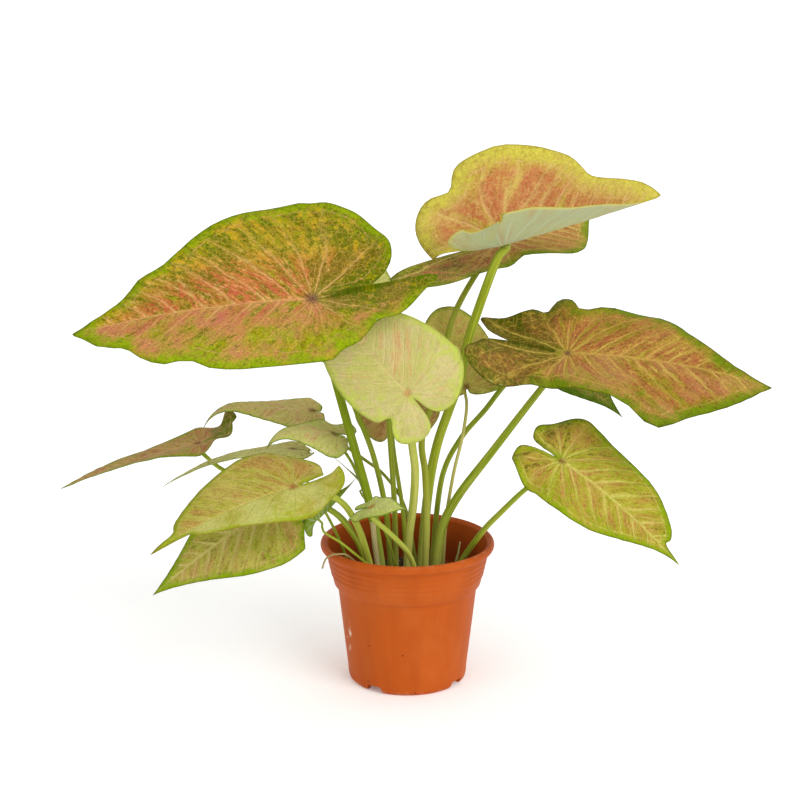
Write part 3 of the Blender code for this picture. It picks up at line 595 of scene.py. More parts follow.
def crossSection(distance, fold, curl, width):
    # out and up over one half of the blade; the fold comes in softly
    out = np.zeros_like(distance)
    up = np.zeros_like(distance)
    for place, weight in zip(*np.polynomial.legendre.leggauss(7)):
        s = distance * (place + 1) / 2
        angle = fold * (1 - np.exp(-s / blade.foldReach)) + curl * s / width
        out += np.cos(angle) * weight * distance / 2
        up += np.sin(angle) * weight * distance / 2
    return out, up


def shapeBlade(leaf, x, y, edge, lift):
    # bends points of the flat blade into the leaf's own frame, after raising them by lift
    length = leaf["length"]
    isLeft = y >= 0
    width = np.where(isLeft, *leaf["halfWidth"])
    lobe = np.where(isLeft, *leaf["lobe"])
    along, height, tilt = midrib(leaf, np.maximum(x, 0.0))
    behind = np.maximum(-x, 0.0)
    middle = 0.5 * sum(leaf["lobeDroop"])
    own = np.where(isLeft, *leaf["lobeDroop"])
    share = np.minimum(1.0, np.abs(y) / (0.25 * width))
    rate = np.radians(middle + (own - middle) * share) / lobe
    rate = np.where(np.abs(rate) < 1e-3, 1e-3, rate)
    along = np.where(x < 0, -np.sin(rate * behind) / rate, along)
    height = np.where(x < 0, (np.cos(rate * behind) - 1) / rate, height)
    tilt = np.where(x < 0, rate * behind, tilt)
    fold = np.radians(np.where(isLeft, *leaf["fold"]))
    curl = np.radians(np.where(isLeft, *leaf["curl"]))
    out, up = crossSection(np.abs(y), fold, curl, width)
    out = np.where(isLeft, out, -out)
    around = np.arctan2(y, x + 0.15 * length)
    ease = edge ** 2 * np.minimum(1.0, np.abs(y) / (0.3 * width))
    up = up + leaf["wave"] * ease * np.sin(leaf["waveStart"] + leaf["waves"] * around) + lift
    beside = np.exp(-(y / (blade.sinusStrip * width)) ** 2)
    beside = beside * np.minimum(1.0, behind / (0.3 * lobe))
    up = up + np.where(isLeft, *leaf["sinusLift"]) * edge * beside
    twist = radians(leaf["twist"]) * x / length
    out, up = out * np.cos(twist) - up * np.sin(twist), out * np.sin(twist) + up * np.cos(twist)
    return np.stack([along - np.sin(tilt) * up, out, height + np.cos(tilt) * up], -1)


def leafFrame(leaf):
    # along, left and up where the stalk meets the blade; sets the blade's length
    start = np.array(leaf["stalkAt"])
    chord = np.array(leaf["tip"]) - start
    span = np.linalg.norm(chord)
    chord /= span
    leaf["length"] = 1.0
    reach, drop, _ = midrib(leaf, np.array(1.0))
    leaf["length"] = span / float(np.hypot(reach, drop))
    below = np.arctan2(drop, reach)
    left = np.cross((0.0, 0.0, 1.0), chord)
    left /= np.linalg.norm(left)
    up = np.cross(chord, left)
    roll = radians(leaf["roll"])
    left, up = left * cos(roll) + up * sin(roll), up * cos(roll) - left * sin(roll)
    along = chord * cos(below) - up * sin(below)
    up = up * cos(below) + chord * sin(below)
    return np.array([along, left, up])


def depthsAt(spot, side, dents):
    return [depth * exp(-((spot - place) / width) ** 2)
            for ownSide, place, width, depth in dents if ownSide == side]


def bladeOutline(leaf, count):
    halves = []
    for side, sign in ((0, 1), (1, -1)):
        half = []
        for i, (x, y) in enumerate(curveThrough(halfOutline, count)):
            if x > 0:
                y += leaf["blunt"][side] * (0.98 * max(0.0, 1 - x * x) ** 0.5 - y)
                y *= 1 + leaf["belly"][side] * sin(pi * x)
                x = leaf["length"] * (x + 2 * leaf["widest"][side] * x * (1 - x))
            else:
                y *= 1 - leaf["lobeTaper"][side] * x * x
                x *= leaf["lobe"][side]
            swell = 1.0
            for depth in depthsAt(i / count, side, leaf["dents"]):
                swell -= depth
            for depth in depthsAt(i / count, side, leaf["notches"]):
                y *= 1 - depth
            half.append((swell * x, swell * sign * y * leaf["halfWidth"][side]))
        halves.append(half)
    return np.array(halves[0] + halves[1][-2:0:-1])


def toOutline(points, outline):
    # each point's distance to the outline
    starts = outline
    steps = np.roll(outline, -1, axis=0) - starts
    lengths = np.maximum((steps ** 2).sum(1), 1e-12)
    offsets = points[:, None, :] - starts[None]
    shares = np.clip((offsets * steps).sum(2) / lengths, 0, 1)
    return np.linalg.norm(offsets - shares[..., None] * steps, axis=2).min(1)


def veinFields(leaf, x, y):
    # whole numbers fall on the side veins; also the gap between veins and the way along one
    across = np.abs(y)
    width = np.where(y >= 0, *leaf["halfWidth"])
    lean = blade.veinLean
    slant = sin(atan(1 / lean))
    straight = x - blade.veinBend * across ** 2 / width
    start = straight - lean * across
    spacing = blade.veinSpacing * leaf["length"]
    reach = np.hypot(straight, across)
    turned = np.arctan2(across, straight) - atan(1 / lean)
    basal = radians(blade.basalAngle)
    number = np.where(start > 0, start / spacing, -turned / basal)
    number = number + np.where(y < 0, 0.45, 0.0)
    gap = np.where(start > 0, spacing * slant, reach * basal)
    along = np.where(start > 0, across / slant, reach)
    return number, gap, along


def relief(leaf, x, y, edge, number, gap, along):
    # the blade swells between its veins and ripples a little towards the edge
    away = np.abs(number - np.round(number))
    swell = blade.quilt * np.sin(pi * away) ** 2 * np.minimum(1.0, gap / 0.012)
    swell = swell * np.minimum(1.0, np.abs(y) / 0.006)
    wander = leaf["seed"] * 1.7
    ripple = np.array([noise.noise(Vector((a / blade.rippleLength + wander,
                                           b / blade.rippleLength, wander)))
                       for a, b in zip(x, y)])
    return swell + blade.ripple * ripple * edge * min(1.0, leaf["length"] / 0.1)


def bladeMesh(name, leaf):
    axes = leafFrame(leaf)
    outline = bladeOutline(leaf, blade.points)
    count = len(outline)
    rings = blade.rings
    shares = (np.arange(1, rings + 1) / rings) ** blade.crowding
    flat = np.vstack([np.zeros((1, 2))] + [outline * share for share in shares])
    edge = np.concatenate([[0.0]] + [np.full(count, share) for share in shares])
    x, y = flat.T
    number, gap, along = veinFields(leaf, x, y)
    rim = toOutline(flat, outline)
    lift = relief(leaf, x, y, edge, number, gap, along)
    groove = np.exp(-(y / blade.grooveWidth) ** 2) * (x > -0.001)
    groove = groove * (1 - 0.7 * x / leaf["length"])
    middle = np.array(leaf["stalkAt"]) + shapeBlade(leaf, x, y, edge, lift) @ axes
    k = np.arange(count)
    n = (k + 1) % count
    centre = np.stack([np.zeros(count, int), 1 + k, 1 + n], 1)
    quads = []
    for ring in range(rings - 1):
        inner = 1 + ring * count
        quads.append(np.stack([inner + k, inner + count + k, inner + count + n, inner + n], 1))
    quads = np.vstack(quads)
    triangles = np.vstack([centre, quads[:, [0, 1, 2]], quads[:, [0, 2, 3]]])
    corners = middle[triangles]
    faceNormals = np.cross(corners[:, 1] - corners[:, 0], corners[:, 2] - corners[:, 0])
    normals = np.zeros_like(middle)
    for corner in range(3):
        np.add.at(normals, triangles[:, corner], faceNormals)
    normals /= np.linalg.norm(normals, axis=1)[:, None]
    thin = blade.rimThickness / 2
    half = thin + (blade.thickness / 2 - thin) * np.minimum(
        1.0, rim / blade.rimBlend)
    # groove and rib are shallower on a small leaf and fade out at the rim
    size = min(1.0, leaf["length"] / 0.12) * np.minimum(1.0, rim / blade.ribBlend)
    over = half - blade.grooveDepth * size * groove
    rib = np.exp(-(y / blade.ribWidth) ** 2) * np.clip(1 - x / leaf["length"], 0, 1)
    rib = rib * (x > -0.0015)
    under = half + blade.ribHeight * size * rib
    total = len(middle)
    points = np.vstack([middle + normals * over[:, None], middle - normals * under[:, None]])
    last = total - count
    band = np.stack([last + k, last + k + total, last + n + total, last + n], 1)
    faces = [tuple(f) for f in centre] + [tuple(f) for f in quads]
    faces += [tuple(f[::-1] + total) for f in centre] + [tuple(f[::-1] + total) for f in quads]
    faces += [tuple(f) for f in band]
    mesh = meshFrom(name, points, faces)
    below = np.zeros(len(faces), int)
    below[len(centre) + len(quads):2 * (len(centre) + len(quads))] = 1
    mesh.polygons.foreach_set("material_index", below)
    width = np.where(y >= 0, *leaf["halfWidth"])
    lobe = np.where(y >= 0, *leaf["lobe"])
    storeVectors(mesh, "flat", (x, y, rim))
    storeVectors(mesh, "veins", (number, gap, along))
    storeVectors(mesh, "place", (np.where(x > 0, x / leaf["length"], x / lobe), y / width,
                                 rim / rim.max()))
    return mesh


# Leaves: their colours

# what a blade has unless it says otherwise; two amounts are for its left and right half
# one colour is a painted sheen laid over one half of a blade, with an amount for each half
usualLook = dict(
    ground=(148, 142, 30), groundPale=(174, 156, 56), patch=(72, 88, 8), flush=(180, 92, 58),
    vein=(212, 172, 104), margin=(136, 162, 10), under=(168, 180, 124), haze=(180, 164, 86),
    joint=(110, 50, 34), flushAmount=0.5, flushReach=0.45, flushNear=0, patchAmount=0.25,
    lobePatch=0, sinusPatch=0, hazeAmount=0, marginWidth=5, veinWidth=1.1, veinStrength=0.75,
    netStrength=0.5, strokeStrength=0.9, stroke=(118, 84, 28), leftMargin=1, leftVeins=1,
    jointSize=4.6,
)

leafLooks = {
    "left_big": dict(
        ground=(136, 138, 0), groundPale=(186, 156, 8), patch=(78, 104, 0), stroke=(108, 94, 0),
        flush=(182, 66, 58), vein=(220, 172, 110), margin=(136, 160, 4), haze=(186, 106, 92),
        joint=(66, 22, 44), flushAmount=(0.7, 1.05), flushReach=0.2, flushNear=0.85,
        patchAmount=(0.54, 0.72), lobePatch=0.12, sinusPatch=1, hazeAmount=(0.68, 0.08),
        marginWidth=6.4, leftMargin=1.5, leftVeins=0.85, veinWidth=1.4, veinStrength=0.85,
        jointSize=8),
    "top_right": dict(
        ground=(180, 166, 58), groundPale=(208, 190, 94), patch=(148, 130, 28),
        flush=(188, 98, 68), vein=(228, 192, 130), margin=(206, 196, 76), haze=(194, 118, 78),
        flushAmount=(0.96, 0.86), flushReach=0.31, patchAmount=(0.12, 0.22),
        under=(180, 188, 142), marginWidth=10, veinWidth=1.7, joint=(160, 80, 60),
        stroke=(152, 104, 40), hazeAmount=(0.22, 0.25), veinStrength=0.9, strokeStrength=0.55),
    "upper_middle": dict(
        ground=(156, 142, 52), groundPale=(186, 162, 72), patch=(92, 104, 22),
        flush=(174, 98, 68), vein=(224, 196, 112), margin=(112, 136, 16), flushAmount=0.9,
        flushReach=0.15, patchAmount=(0.25, 0.3), lobePatch=0.5, marginWidth=6, veinWidth=2.6,
        veinStrength=1.1, strokeStrength=0.6),
    "right_big": dict(
        ground=(138, 120, 20), groundPale=(168, 138, 46), patch=(66, 78, 6), flush=(166, 84, 56),
        vein=(206, 176, 84), margin=(104, 130, 6), haze=(184, 140, 96), joint=(90, 36, 48),
        flushAmount=(0.82, 0.8), flushReach=0.16, patchAmount=(0.36, 0.32), lobePatch=0.8,
        sinusPatch=0.5, marginWidth=7.2, veinWidth=1.5, hazeAmount=(0.1, 0.32),
        stroke=(120, 78, 32), veinStrength=0.9, strokeStrength=0.75),
    "right_under": dict(
        ground=(110, 138, 44), groundPale=(138, 156, 62), flush=(150, 118, 62),
        margin=(88, 126, 16), under=(112, 138, 66), flushAmount=0.2),
    "right_low": dict(
        ground=(148, 146, 26), groundPale=(172, 158, 52), patch=(82, 92, 10),
        flush=(176, 112, 66), vein=(208, 204, 104), margin=(132, 158, 8), haze=(182, 148, 68),
        joint=(116, 60, 36), flushAmount=(0.74, 0.8), flushReach=0.18, patchAmount=(0.44, 0.28),
        lobePatch=0.4, marginWidth=4, veinWidth=1.8, veinStrength=0.85, strokeStrength=0.45),
    "far_left": dict(
        ground=(158, 144, 66), groundPale=(176, 150, 82), patch=(88, 114, 18),
        flush=(172, 106, 80), vein=(206, 166, 116), margin=(132, 146, 34), flushAmount=0.72,
        flushReach=0.05, patchAmount=0.2, lobePatch=0.9, marginWidth=3, strokeStrength=0.6),
    "left_strip": dict(
        ground=(200, 186, 104), groundPale=(212, 192, 126), flush=(218, 156, 122),
        vein=(220, 192, 140), margin=(172, 186, 76), under=(204, 178, 120), flushAmount=0.6,
        flushReach=0, patchAmount=0, marginWidth=2, strokeStrength=0.5),
    "left_hooked": dict(
        ground=(192, 192, 106), groundPale=(206, 200, 126), flush=(208, 140, 104),
        vein=(218, 196, 136), margin=(180, 192, 86), under=(196, 202, 134), flushAmount=0.55,
        flushReach=0.3, patchAmount=0, marginWidth=2, strokeStrength=0.4),
    "front_left": dict(
        ground=(162, 156, 54), groundPale=(184, 172, 84), patch=(134, 116, 30),
        flush=(176, 130, 70), vein=(202, 188, 108), margin=(148, 164, 26), haze=(190, 192, 112),
        joint=(150, 80, 40), flushAmount=(0.35, 0.7), flushReach=0.12, patchAmount=(0.1, 0.38),
        hazeAmount=(0.7, 0), marginWidth=3, veinStrength=0.6, strokeStrength=0.5, leftVeins=0.5),
    "low_left": dict(
        ground=(158, 158, 46), groundPale=(190, 178, 84), patch=(98, 106, 12),
        flush=(182, 132, 82), vein=(208, 192, 116), margin=(128, 158, 4), flushAmount=(0.7, 0.6),
        flushReach=0.12, patchAmount=(0.46, 0.5), marginWidth=4.6, veinWidth=2.2, veinStrength=1,
        strokeStrength=0.5),
    "left_narrow": dict(
        ground=(210, 208, 130), groundPale=(218, 212, 146), flush=(218, 180, 134),
        vein=(222, 214, 150), margin=(198, 206, 104), under=(206, 208, 146), flushAmount=0.3,
        flushReach=0.1, patchAmount=0, marginWidth=1.8, strokeStrength=0.5),
    "centre_pale": dict(
        ground=(184, 180, 102), groundPale=(196, 184, 124), patch=(168, 172, 82),
        flush=(210, 160, 108), vein=(216, 194, 130), margin=(182, 194, 80), joint=(190, 138, 84),
        flushAmount=(0.5, 0.62), flushReach=0.25, patchAmount=0.25, marginWidth=3.6,
        veinStrength=0.55, netStrength=0.3, strokeStrength=0.22),
    "centre_rear": dict(
        ground=(186, 172, 76), groundPale=(194, 176, 92), flush=(196, 152, 92),
        vein=(204, 184, 104), margin=(170, 178, 62), under=(184, 176, 92), flushAmount=(0.6, 0.7),
        flushReach=0.2, patchAmount=0, marginWidth=3, veinStrength=0.5, strokeStrength=0.5),
    "centre_brown": dict(
        ground=(178, 150, 84), groundPale=(190, 158, 98), patch=(140, 130, 50),
        flush=(180, 124, 82), vein=(202, 166, 108), margin=(164, 154, 72), flushAmount=0.7,
        flushReach=0.1, patchAmount=0.2, marginWidth=2, strokeStrength=0.6),
    "rear_pale": dict(
        ground=(196, 198, 100), groundPale=(206, 204, 120), flush=(204, 182, 110),
        vein=(212, 208, 130), margin=(190, 200, 80), under=(190, 194, 110), flushAmount=0.1,
        patchAmount=0, marginWidth=3, veinStrength=0.5, strokeStrength=0.4),
    "rear_tan": dict(
        ground=(170, 150, 78), groundPale=(184, 158, 92), flush=(178, 126, 82),
        vein=(200, 168, 110), margin=(148, 148, 60), flushAmount=0.7, flushReach=0.1,
        patchAmount=0.1, marginWidth=2, strokeStrength=0.6),
    "front_small": dict(
        ground=(184, 194, 96), groundPale=(200, 206, 124), flush=(200, 180, 96),
        vein=(208, 210, 134), margin=(160, 186, 60), joint=(176, 96, 36), under=(176, 190, 96),
        flushAmount=0, patchAmount=0, marginWidth=1.6, veinStrength=0.5, strokeStrength=0.5),
    "rolled_young": dict(
        ground=(104, 128, 28), groundPale=(124, 144, 44), flush=(130, 128, 46),
        vein=(150, 164, 72), margin=(108, 132, 26), under=(116, 138, 40), flushAmount=0,
        patchAmount=0.3, marginWidth=1),
    "narrow_young": dict(
        ground=(158, 158, 72), groundPale=(172, 166, 88), flush=(174, 142, 80),
        vein=(184, 182, 104), margin=(142, 152, 60), under=(158, 162, 80), flushAmount=0.2,
        patchAmount=0, marginWidth=1.2, strokeStrength=0.5),
}


def veinGroup():
    # the masks of the veins, from the attributes that the blades carry
    tree, given, leave = openTree(
        "Leaf veins", "ShaderNodeTree", {"seed": "Float", "veinWidth": "Float"},
        dict.fromkeys(("main", "halo", "side", "net", "streak", "clump", "dash"), "Float"))
    x, y, _ = split(stored(tree, "flat"))
    number, gap, along = split(stored(tree, "veins"))
    forward, _, inner = split(stored(tree, "place"))
    spot = joined(x, y, given.seed)
    wander = noiseAt(spot, 34.0, 3.0) - 0.5
    number = number + wander * 0.55
    distance = abs(number - round(number)) * gap
    sideWidth = given.veinWidth * (inner * 0.95 + 0.40)
    # the midrib is thinner towards the tip
    ribWidth = given.veinWidth * (1.5 - forward * 1.1)
    off = abs(y + wander * 0.0012) + larger(x * -1.0, 0.0) * 0.6
    # small veins leave the side veins at a slant, and a fine net lies between them
    step = (along - distance * 1.3) / 0.0085 + wander * 2.4
    shift = addValue("ShaderNodeTexNoise", {"Vector": spot, "Scale": 160.0}, 1)
    shift = addValue("ShaderNodeVectorMath", {0: shift, 3: 0.004}, operation="SCALE")
    bent = addValue("ShaderNodeVectorMath", {0: spot, 1: shift}, operation="ADD")
    cells = addValue("ShaderNodeTexVoronoi", {"Vector": bent, "Scale": 240.0},
                     feature="DISTANCE_TO_EDGE")

    def alongVeins(across, length, detail, roughness, distortion):
        return noiseAt(joined(number * across, along * length, given.seed), 1.0, detail,
                       roughness, distortion)

    setSockets(leave, {
        "main": larger(fall(distance, sideWidth * 0.2, sideWidth),
                       fall(off, ribWidth * 0.3, ribWidth)),
        "halo": larger(fall(distance, 0.0, sideWidth * 4.0) * 0.7,
                       fall(off, 0.0, ribWidth * 5.0)),
        "side": fall(abs(step - round(step)), 0.01, 0.085),
        "net": fall(cells, 0.01, 0.12),
        "streak": alongVeins(1.7, 20.0, 5.0, 0.6, 0.4),
        "clump": alongVeins(2.2, 66.0, 6.0, 0.68, 0.9),
        "dash": alongVeins(7.0, 130.0, 4.0, 0.62, 0.5)})
    return tree


def bladeGroup(veins):
    # the upper side: mottled ground, clumps, flush, veins, a painted sheen over one half, and margin
    tree, given, leave = newGroup(
        "Blade top", "ground groundPale patch flush stroke vein margin haze joint",
        "seed veinWidth veinStrength netStrength flushReach flushNear flushLeft flushRight "
        "patchLeft patchRight lobePatch sinusPatch strokeStrength hazeLeft hazeRight "
        "marginWidth leftMargin leftVeins jointSize")
    masks = addGroup(tree, veins, vars(given))
    x, y, rim = split(stored(tree, "flat"))
    forward, sideways, inner = split(stored(tree, "place"))
    spot = joined(x, y, given.seed)
    isLeft = rise(y, -0.0015, 0.0015)
    beside, behind = abs(sideways), forward * -1.0
    broad = noiseAt(spot, 42.0, 5.0, 0.62)
    fine = noiseAt(spot, 250.0, 5.0, 0.72)
    grain = noiseAt(spot, 1200.0, 3.0, 0.7)
    colour = blend(rise(broad * 0.55 + fine * 0.45, 0.45, 0.55), given.ground, given.groundPale)
    # clouds of lime towards the margin
    clouds = noiseAt(spot, 75.0, 5.0, 0.66, 0.8)
    limeness = rise(clouds, 0.46, 0.60) * (rise(beside, 0.25, 0.75) * 0.55 + 0.20)
    colour = blend(limeness, colour, given.margin)
    # clumps of dark green, more of them in the lobes and by the sinus
    isLobe = rise(behind, 0.05, 0.5)
    bySinus = rise(behind, 0.0, 0.15) * fall(beside, 0.10, 0.42)
    level = 0.665 - (between(isLeft, given.patchRight, given.patchLeft)
                     + (isLobe * given.lobePatch + bySinus * given.sinusPatch)) * 0.26
    clump = rise(masks.clump * 0.62 + fine * 0.38, level, level + 0.07)
    colour = blend(clump * 0.92, colour, given.patch)
    # flush of pink in streaks along the side veins, inside the blade and beside its midrib
    level = 0.70 - between(isLeft, given.flushRight, given.flushLeft) * 0.36
    flush = rise(masks.streak * 0.70 + fine * 0.30, level, level + 0.15)
    reach = rise(inner + broad * 0.3, given.flushReach - 0.02, given.flushReach + 0.36)
    apart = rise(beside + broad * 0.4, 0.38, 0.78)
    flush = flush * (reach * (1.0 - apart * given.flushNear)) * (1.0 - clump * 0.65)
    colour = blend(flush * 0.88, colour, given.flush)
    # dark and pale strokes between the fine veins
    stroke = masks.dash * 0.6 + fine * 0.4
    amount = given.strokeStrength * between(isLeft, 0.8, given.leftVeins * 0.8)
    colour = blend(rise(stroke, 0.50, 0.57) * amount, colour, given.stroke)
    outward = rise(beside + broad * 0.3, 0.25, 0.90)
    paler = blend(larger(isLobe, outward), given.vein, given.groundPale)
    colour = blend(rise(stroke, 0.46, 0.40) * amount, colour, paler)
    # a broken fine net, then the side veins and the midrib
    broken = rise(fine, 0.38, 0.60)
    pale = blend(0.45, given.groundPale, given.vein)
    small = larger(masks.side * 0.8, masks.net) * (broken * given.netStrength)
    colour = blend(small, colour, pale)
    colour = blend(masks.halo * (rise(stroke, 0.60, 0.42) * 0.45), colour, pale)
    strong = masks.main * given.veinStrength * (rise(fine, 0.38, 0.62) * 0.60 + 0.40)
    strong = strong * between(isLeft, 1.0, given.leftVeins) * (1.0 - outward * 0.75)
    pinker = blend(flush * 0.30, given.vein, given.flush)
    colour = blend(strong, colour, blend(outward * 0.6, pinker, pale))
    # a painted sheen: one half of the blade is paler in patches, as where it catches the light
    sheenShare = between(isLeft, given.hazeRight, given.hazeLeft) * rise(broad, 0.35, 0.65)
    sheenShare = sheenShare * (1.0 - clump * 0.75) * (1.0 - masks.main * 0.5)
    colour = blend(sheenShare, colour, given.haze)
    # ragged margin, with a fine vein along its inner side
    width = given.marginWidth * between(isLeft, 1.0, given.leftMargin)
    ragged = rim + width * ((fine - 0.5) * 1.7 + (broad - 0.5) * 2.4)
    lime = blend(rise(fine, 0.46, 0.62) * 0.55, given.margin, given.patch)
    lime = blend(rise(broad, 0.50, 0.62) * 0.35, lime, given.groundPale)
    margin = fall(ragged, width * 0.1, width * 1.4) * (0.88 - isLobe * given.lobePatch)
    margin = margin * (1.0 - calc("MINIMUM", bySinus * given.sinusPatch, 1.0))
    colour = blend(margin, colour, lime)
    line = fall(abs(rim - width * (broad + 0.65)), 0.0001, 0.0007)
    colour = blend(line * (broken * 0.40), colour, given.vein)
    colour = blend(fall(rim, 0.0002, 0.0012) * 0.55, colour, given.patch)
    # a fine grain, lighter and darker
    speck = rise(noiseAt(spot, 620.0, 3.0, 0.7), 0.36, 0.64) - 0.5
    speck = speck * (given.strokeStrength * 0.36) + 1.0
    colour = blend(1.0, colour, joined(speck, speck, speck), "MULTIPLY")
    # where the stalk joins
    near = calc("SQRT", x * x + y * y) + (fine - 0.5) * 0.006
    colour = blend(fall(near, 0.0004, given.jointSize) * 0.75, colour, given.joint)
    height = masks.main * -1.0 + (masks.side * -0.4 + masks.net * -0.3)
    setSockets(leave, {"colour": colour, "roughness": broad * 0.22 + 0.42,
                       "height": height + (grain * 0.25 + fine * 0.8)})
    return tree


def underGroup(veins):
    # the underside: pale, with raised veins
    tree, given, leave = newGroup("Blade underside", "under flush margin", "seed veinWidth")
    masks = addGroup(tree, veins, vars(given))
    x, y, rim = split(stored(tree, "flat"))
    spot = joined(x, y, given.seed)
    broad = noiseAt(spot, 34.0, 4.0)
    grain = noiseAt(spot, 800.0, 2.0)
    colour = blend(rise(masks.streak, 0.42, 0.72) * 0.34, given.under, given.flush)
    colour = blend(rise(broad, 0.35, 0.7) * 0.25, colour, given.margin)
    drawn = larger(masks.main * 0.7, larger(masks.side, masks.net) * 0.25)
    colour = blend(drawn, colour, blend(0.5, given.under, (0.62, 0.66, 0.46, 1.0)))
    colour = blend(fall(rim, 0.0004, 0.0030) * 0.55, colour, given.margin)
    height = masks.main + (masks.side * 0.45 + masks.net * 0.25) + grain * 0.15
    setSockets(leave, {"colour": colour, "roughness": broad * 0.2 + 0.5, "height": height})
    return tree


def bladeMaterials(name, leaf, topGroup, lowGroup):
    values = {"seed": leaf["seed"]}
    for key, value in readTable(usualLook, leafLooks[name]).items():
        if key in bothSides:
            values[key.replace("Amount", "Left")], values[key.replace("Amount", "Right")] = value
        else:
            values[key] = paint(*value) if isinstance(value, tuple) else value
    # a small leaf has finer veins
    values["veinWidth"] *= min(1.0, 0.35 + leaf["length"] / 0.2)
    return (groupMaterial("bladeTop_" + name, topGroup, values, 0.55, 0.0006, 0.03),
            groupMaterial("bladeUnder_" + name, lowGroup, values, 0.45, 0.0005, 0.05))


def makeBlades():
    veins = veinGroup()
    topGroup, lowGroup = bladeGroup(veins), underGroup(veins)
    for place, (name, shape) in enumerate(leafShapes.items()):
        leaf = {**readTable(usualShape, shape), "seed": 3.1 * place + 1.0}
        mesh = bladeMesh("leafBlade_" + name, leaf)
        addPiece("leafBlade_" + name, mesh, "blade_" + name, "blade_" + name,
                 bladeMaterials(name, leaf, topGroup, lowGroup))


# Stalks

stalkSizes = dict(
    footZ=0.052, straightZ=0.072, step=0.004, sides=18, sheath=0.30, sheathEnd=0.16, flare=0.18,
    bareSheath=0.1, underBlade=(0.0045, 0.0003),
)
stalk = SimpleNamespace(**stalkSizes)
usualStalk = dict(
    green=(127, 144, 26), lit=(166, 176, 62), dark=(89, 110, 12), base=(176, 178, 92),
)

# each stalk's own colours, where they differ
stalkLooks = {
    "left_big": dict(green=(109, 132, 14), lit=(142, 158, 36)),
    "top_right": dict(green=(131, 144, 26), lit=(164, 172, 54)),
    "upper_middle": dict(green=(129, 136, 30), lit=(156, 158, 60)),
    "right_low": dict(green=(133, 148, 30)),
    "front_left": dict(green=(151, 162, 42), lit=(182, 188, 80)),
    "centre_pale": dict(green=(161, 168, 62), lit=(192, 192, 100), base=(196, 192, 116)),
    "centre_rear": dict(green=(181, 176, 90), lit=(202, 194, 116), base=(190, 180, 108)),
    "right_under": dict(green=(119, 136, 26)),
    "centre_brown": dict(green=(137, 148, 34)),
    "rear_pale": dict(green=(135, 148, 36)),
    "front_small": dict(green=(155, 166, 52), lit=(184, 190, 86)),
    "left_hooked": dict(green=(139, 140, 46)),
    "dry_stem": dict(green=(152, 140, 84), lit=(178, 160, 108), dark=(104, 86, 50),
                     base=(150, 130, 84)),
    "old_stem": dict(green=(178, 164, 110), lit=(200, 186, 138), dark=(128, 104, 62),
                     base=(170, 150, 100)),
    "young_shoot": dict(green=(176, 180, 104), lit=(196, 196, 130), dark=(140, 150, 70),
                        base=(190, 184, 130)),
}


def stalkTree():
    # a tube along a line: wider in its sheath at the foot, with a flare under the blade
    tree, given, leave = newTree("Leaf stalk", "footRadius topRadius sheath sheathEnd flare",
                                 "sides")
    line = addValue("GeometryNodeMeshToCurve", {"Mesh": given.geometry})
    share, length, _ = addNode("GeometryNodeSplineParameter", tree=tree).outputs
    share, length = Value(share), Value(length)
    sheath = larger(1.0 - share / given.sheathEnd, 0.0) ** 2.0 * given.sheath
    flare = larger((share - 0.95) * 20.0, 0.0) ** 2.0 * given.flare
    radius = between(share, given.footRadius, given.topRadius) * (sheath + flare + 1.0)

    def keep(geometry, label, value, kind="FLOAT"):
        return addValue("GeometryNodeStoreNamedAttribute", {
            "Geometry": geometry, "Name": label, "Value": value}, data_type=kind,
            domain="POINT")

    ring = addValue("GeometryNodeCurvePrimitiveCircle", {
        "Resolution": given.sides, "Radius": 1.0}, mode="RADIUS")
    position = addValue("GeometryNodeInputPosition", tree=tree)
    closeTree(addValue("GeometryNodeCurveToMesh", {
        "Curve": keep(keep(line, "along", length), "share", share),
        "Profile Curve": keep(ring, "ring", position, "FLOAT_VECTOR"), "Scale": radius,
        "Fill Caps": True}), given, leave)
    return tree


def stalkGroup():
    # green with pale streaks and dark hairs along the stalk, paler at its foot and top
    tree, given, leave = newGroup("Stalk skin", "green lit dark base", "seed")
    a, b, _ = split(stored(tree, "ring"))
    along, share = stored(tree, "along", "Fac"), stored(tree, "share", "Fac")
    streak = noiseAt(joined(a * 3.2, b * 3.2, along * 24.0 + given.seed), 1.0, 4.0, 0.6)
    hair = noiseAt(joined(a * 11.0, b * 11.0, along * 70.0 + given.seed), 1.0, 3.0, 0.6)
    colour = blend(rise(streak, 0.36, 0.62), given.green, given.lit)
    colour = blend(rise(hair, 0.5, 0.72) * 0.5, colour, given.dark)
    colour = blend(fall(share + streak * 0.15, 0.14, 0.42) * 0.75, colour, given.base)
    colour = blend(rise(share, 0.965, 1.0) * 0.35, colour, given.base)
    setSockets(leave, {"colour": colour, "roughness": streak * 0.2 + 0.32, "height": hair})
    return tree


def stemLine(foot, route, top):
    # from the foot straight up out of the soil, then back along the route
    points = [(*foot, height) for height in (stalk.footZ, stalk.footZ + 0.010, stalk.straightZ,
                                             stalk.straightZ + 0.010)]
    fine = curveThrough(points + list(reversed(route)) + top, 600)
    walked = np.append(0.0, np.cumsum(np.linalg.norm(np.diff(fine, axis=0), axis=1)))
    stops = np.linspace(0.0, walked[-1], max(8, round(walked[-1] / stalk.step)))
    return [tuple(np.interp(stop, walked, fine[:, k]) for k in range(3)) for stop in stops]


def makeStalk(piece, node, name, stem, top, seed, tree, group, sheath, flare):
    line = stemLine(stem["foot"], stem["route"], top)
    mesh = bpy.data.meshes.new(piece + "_line")
    mesh.from_pydata(line, [(k, k + 1) for k in range(len(line) - 1)], [])
    look = painted({**usualStalk, **stalkLooks.get(name, {})})
    tube = grown(piece, mesh, tree, {
        "footRadius": stem["radius"][1], "topRadius": stem["radius"][0], "sheath": sheath,
        "sheathEnd": stalk.sheathEnd, "flare": flare, "sides": stalk.sides,
        "material": groupMaterial("stalkSkin_" + name, group, {**look, "seed": seed}, 0.25,
                                  0.0003, 0.06)})
    tube.set_sharp_from_angle(angle=radians(50))
    addPiece(piece, tube, node, node)


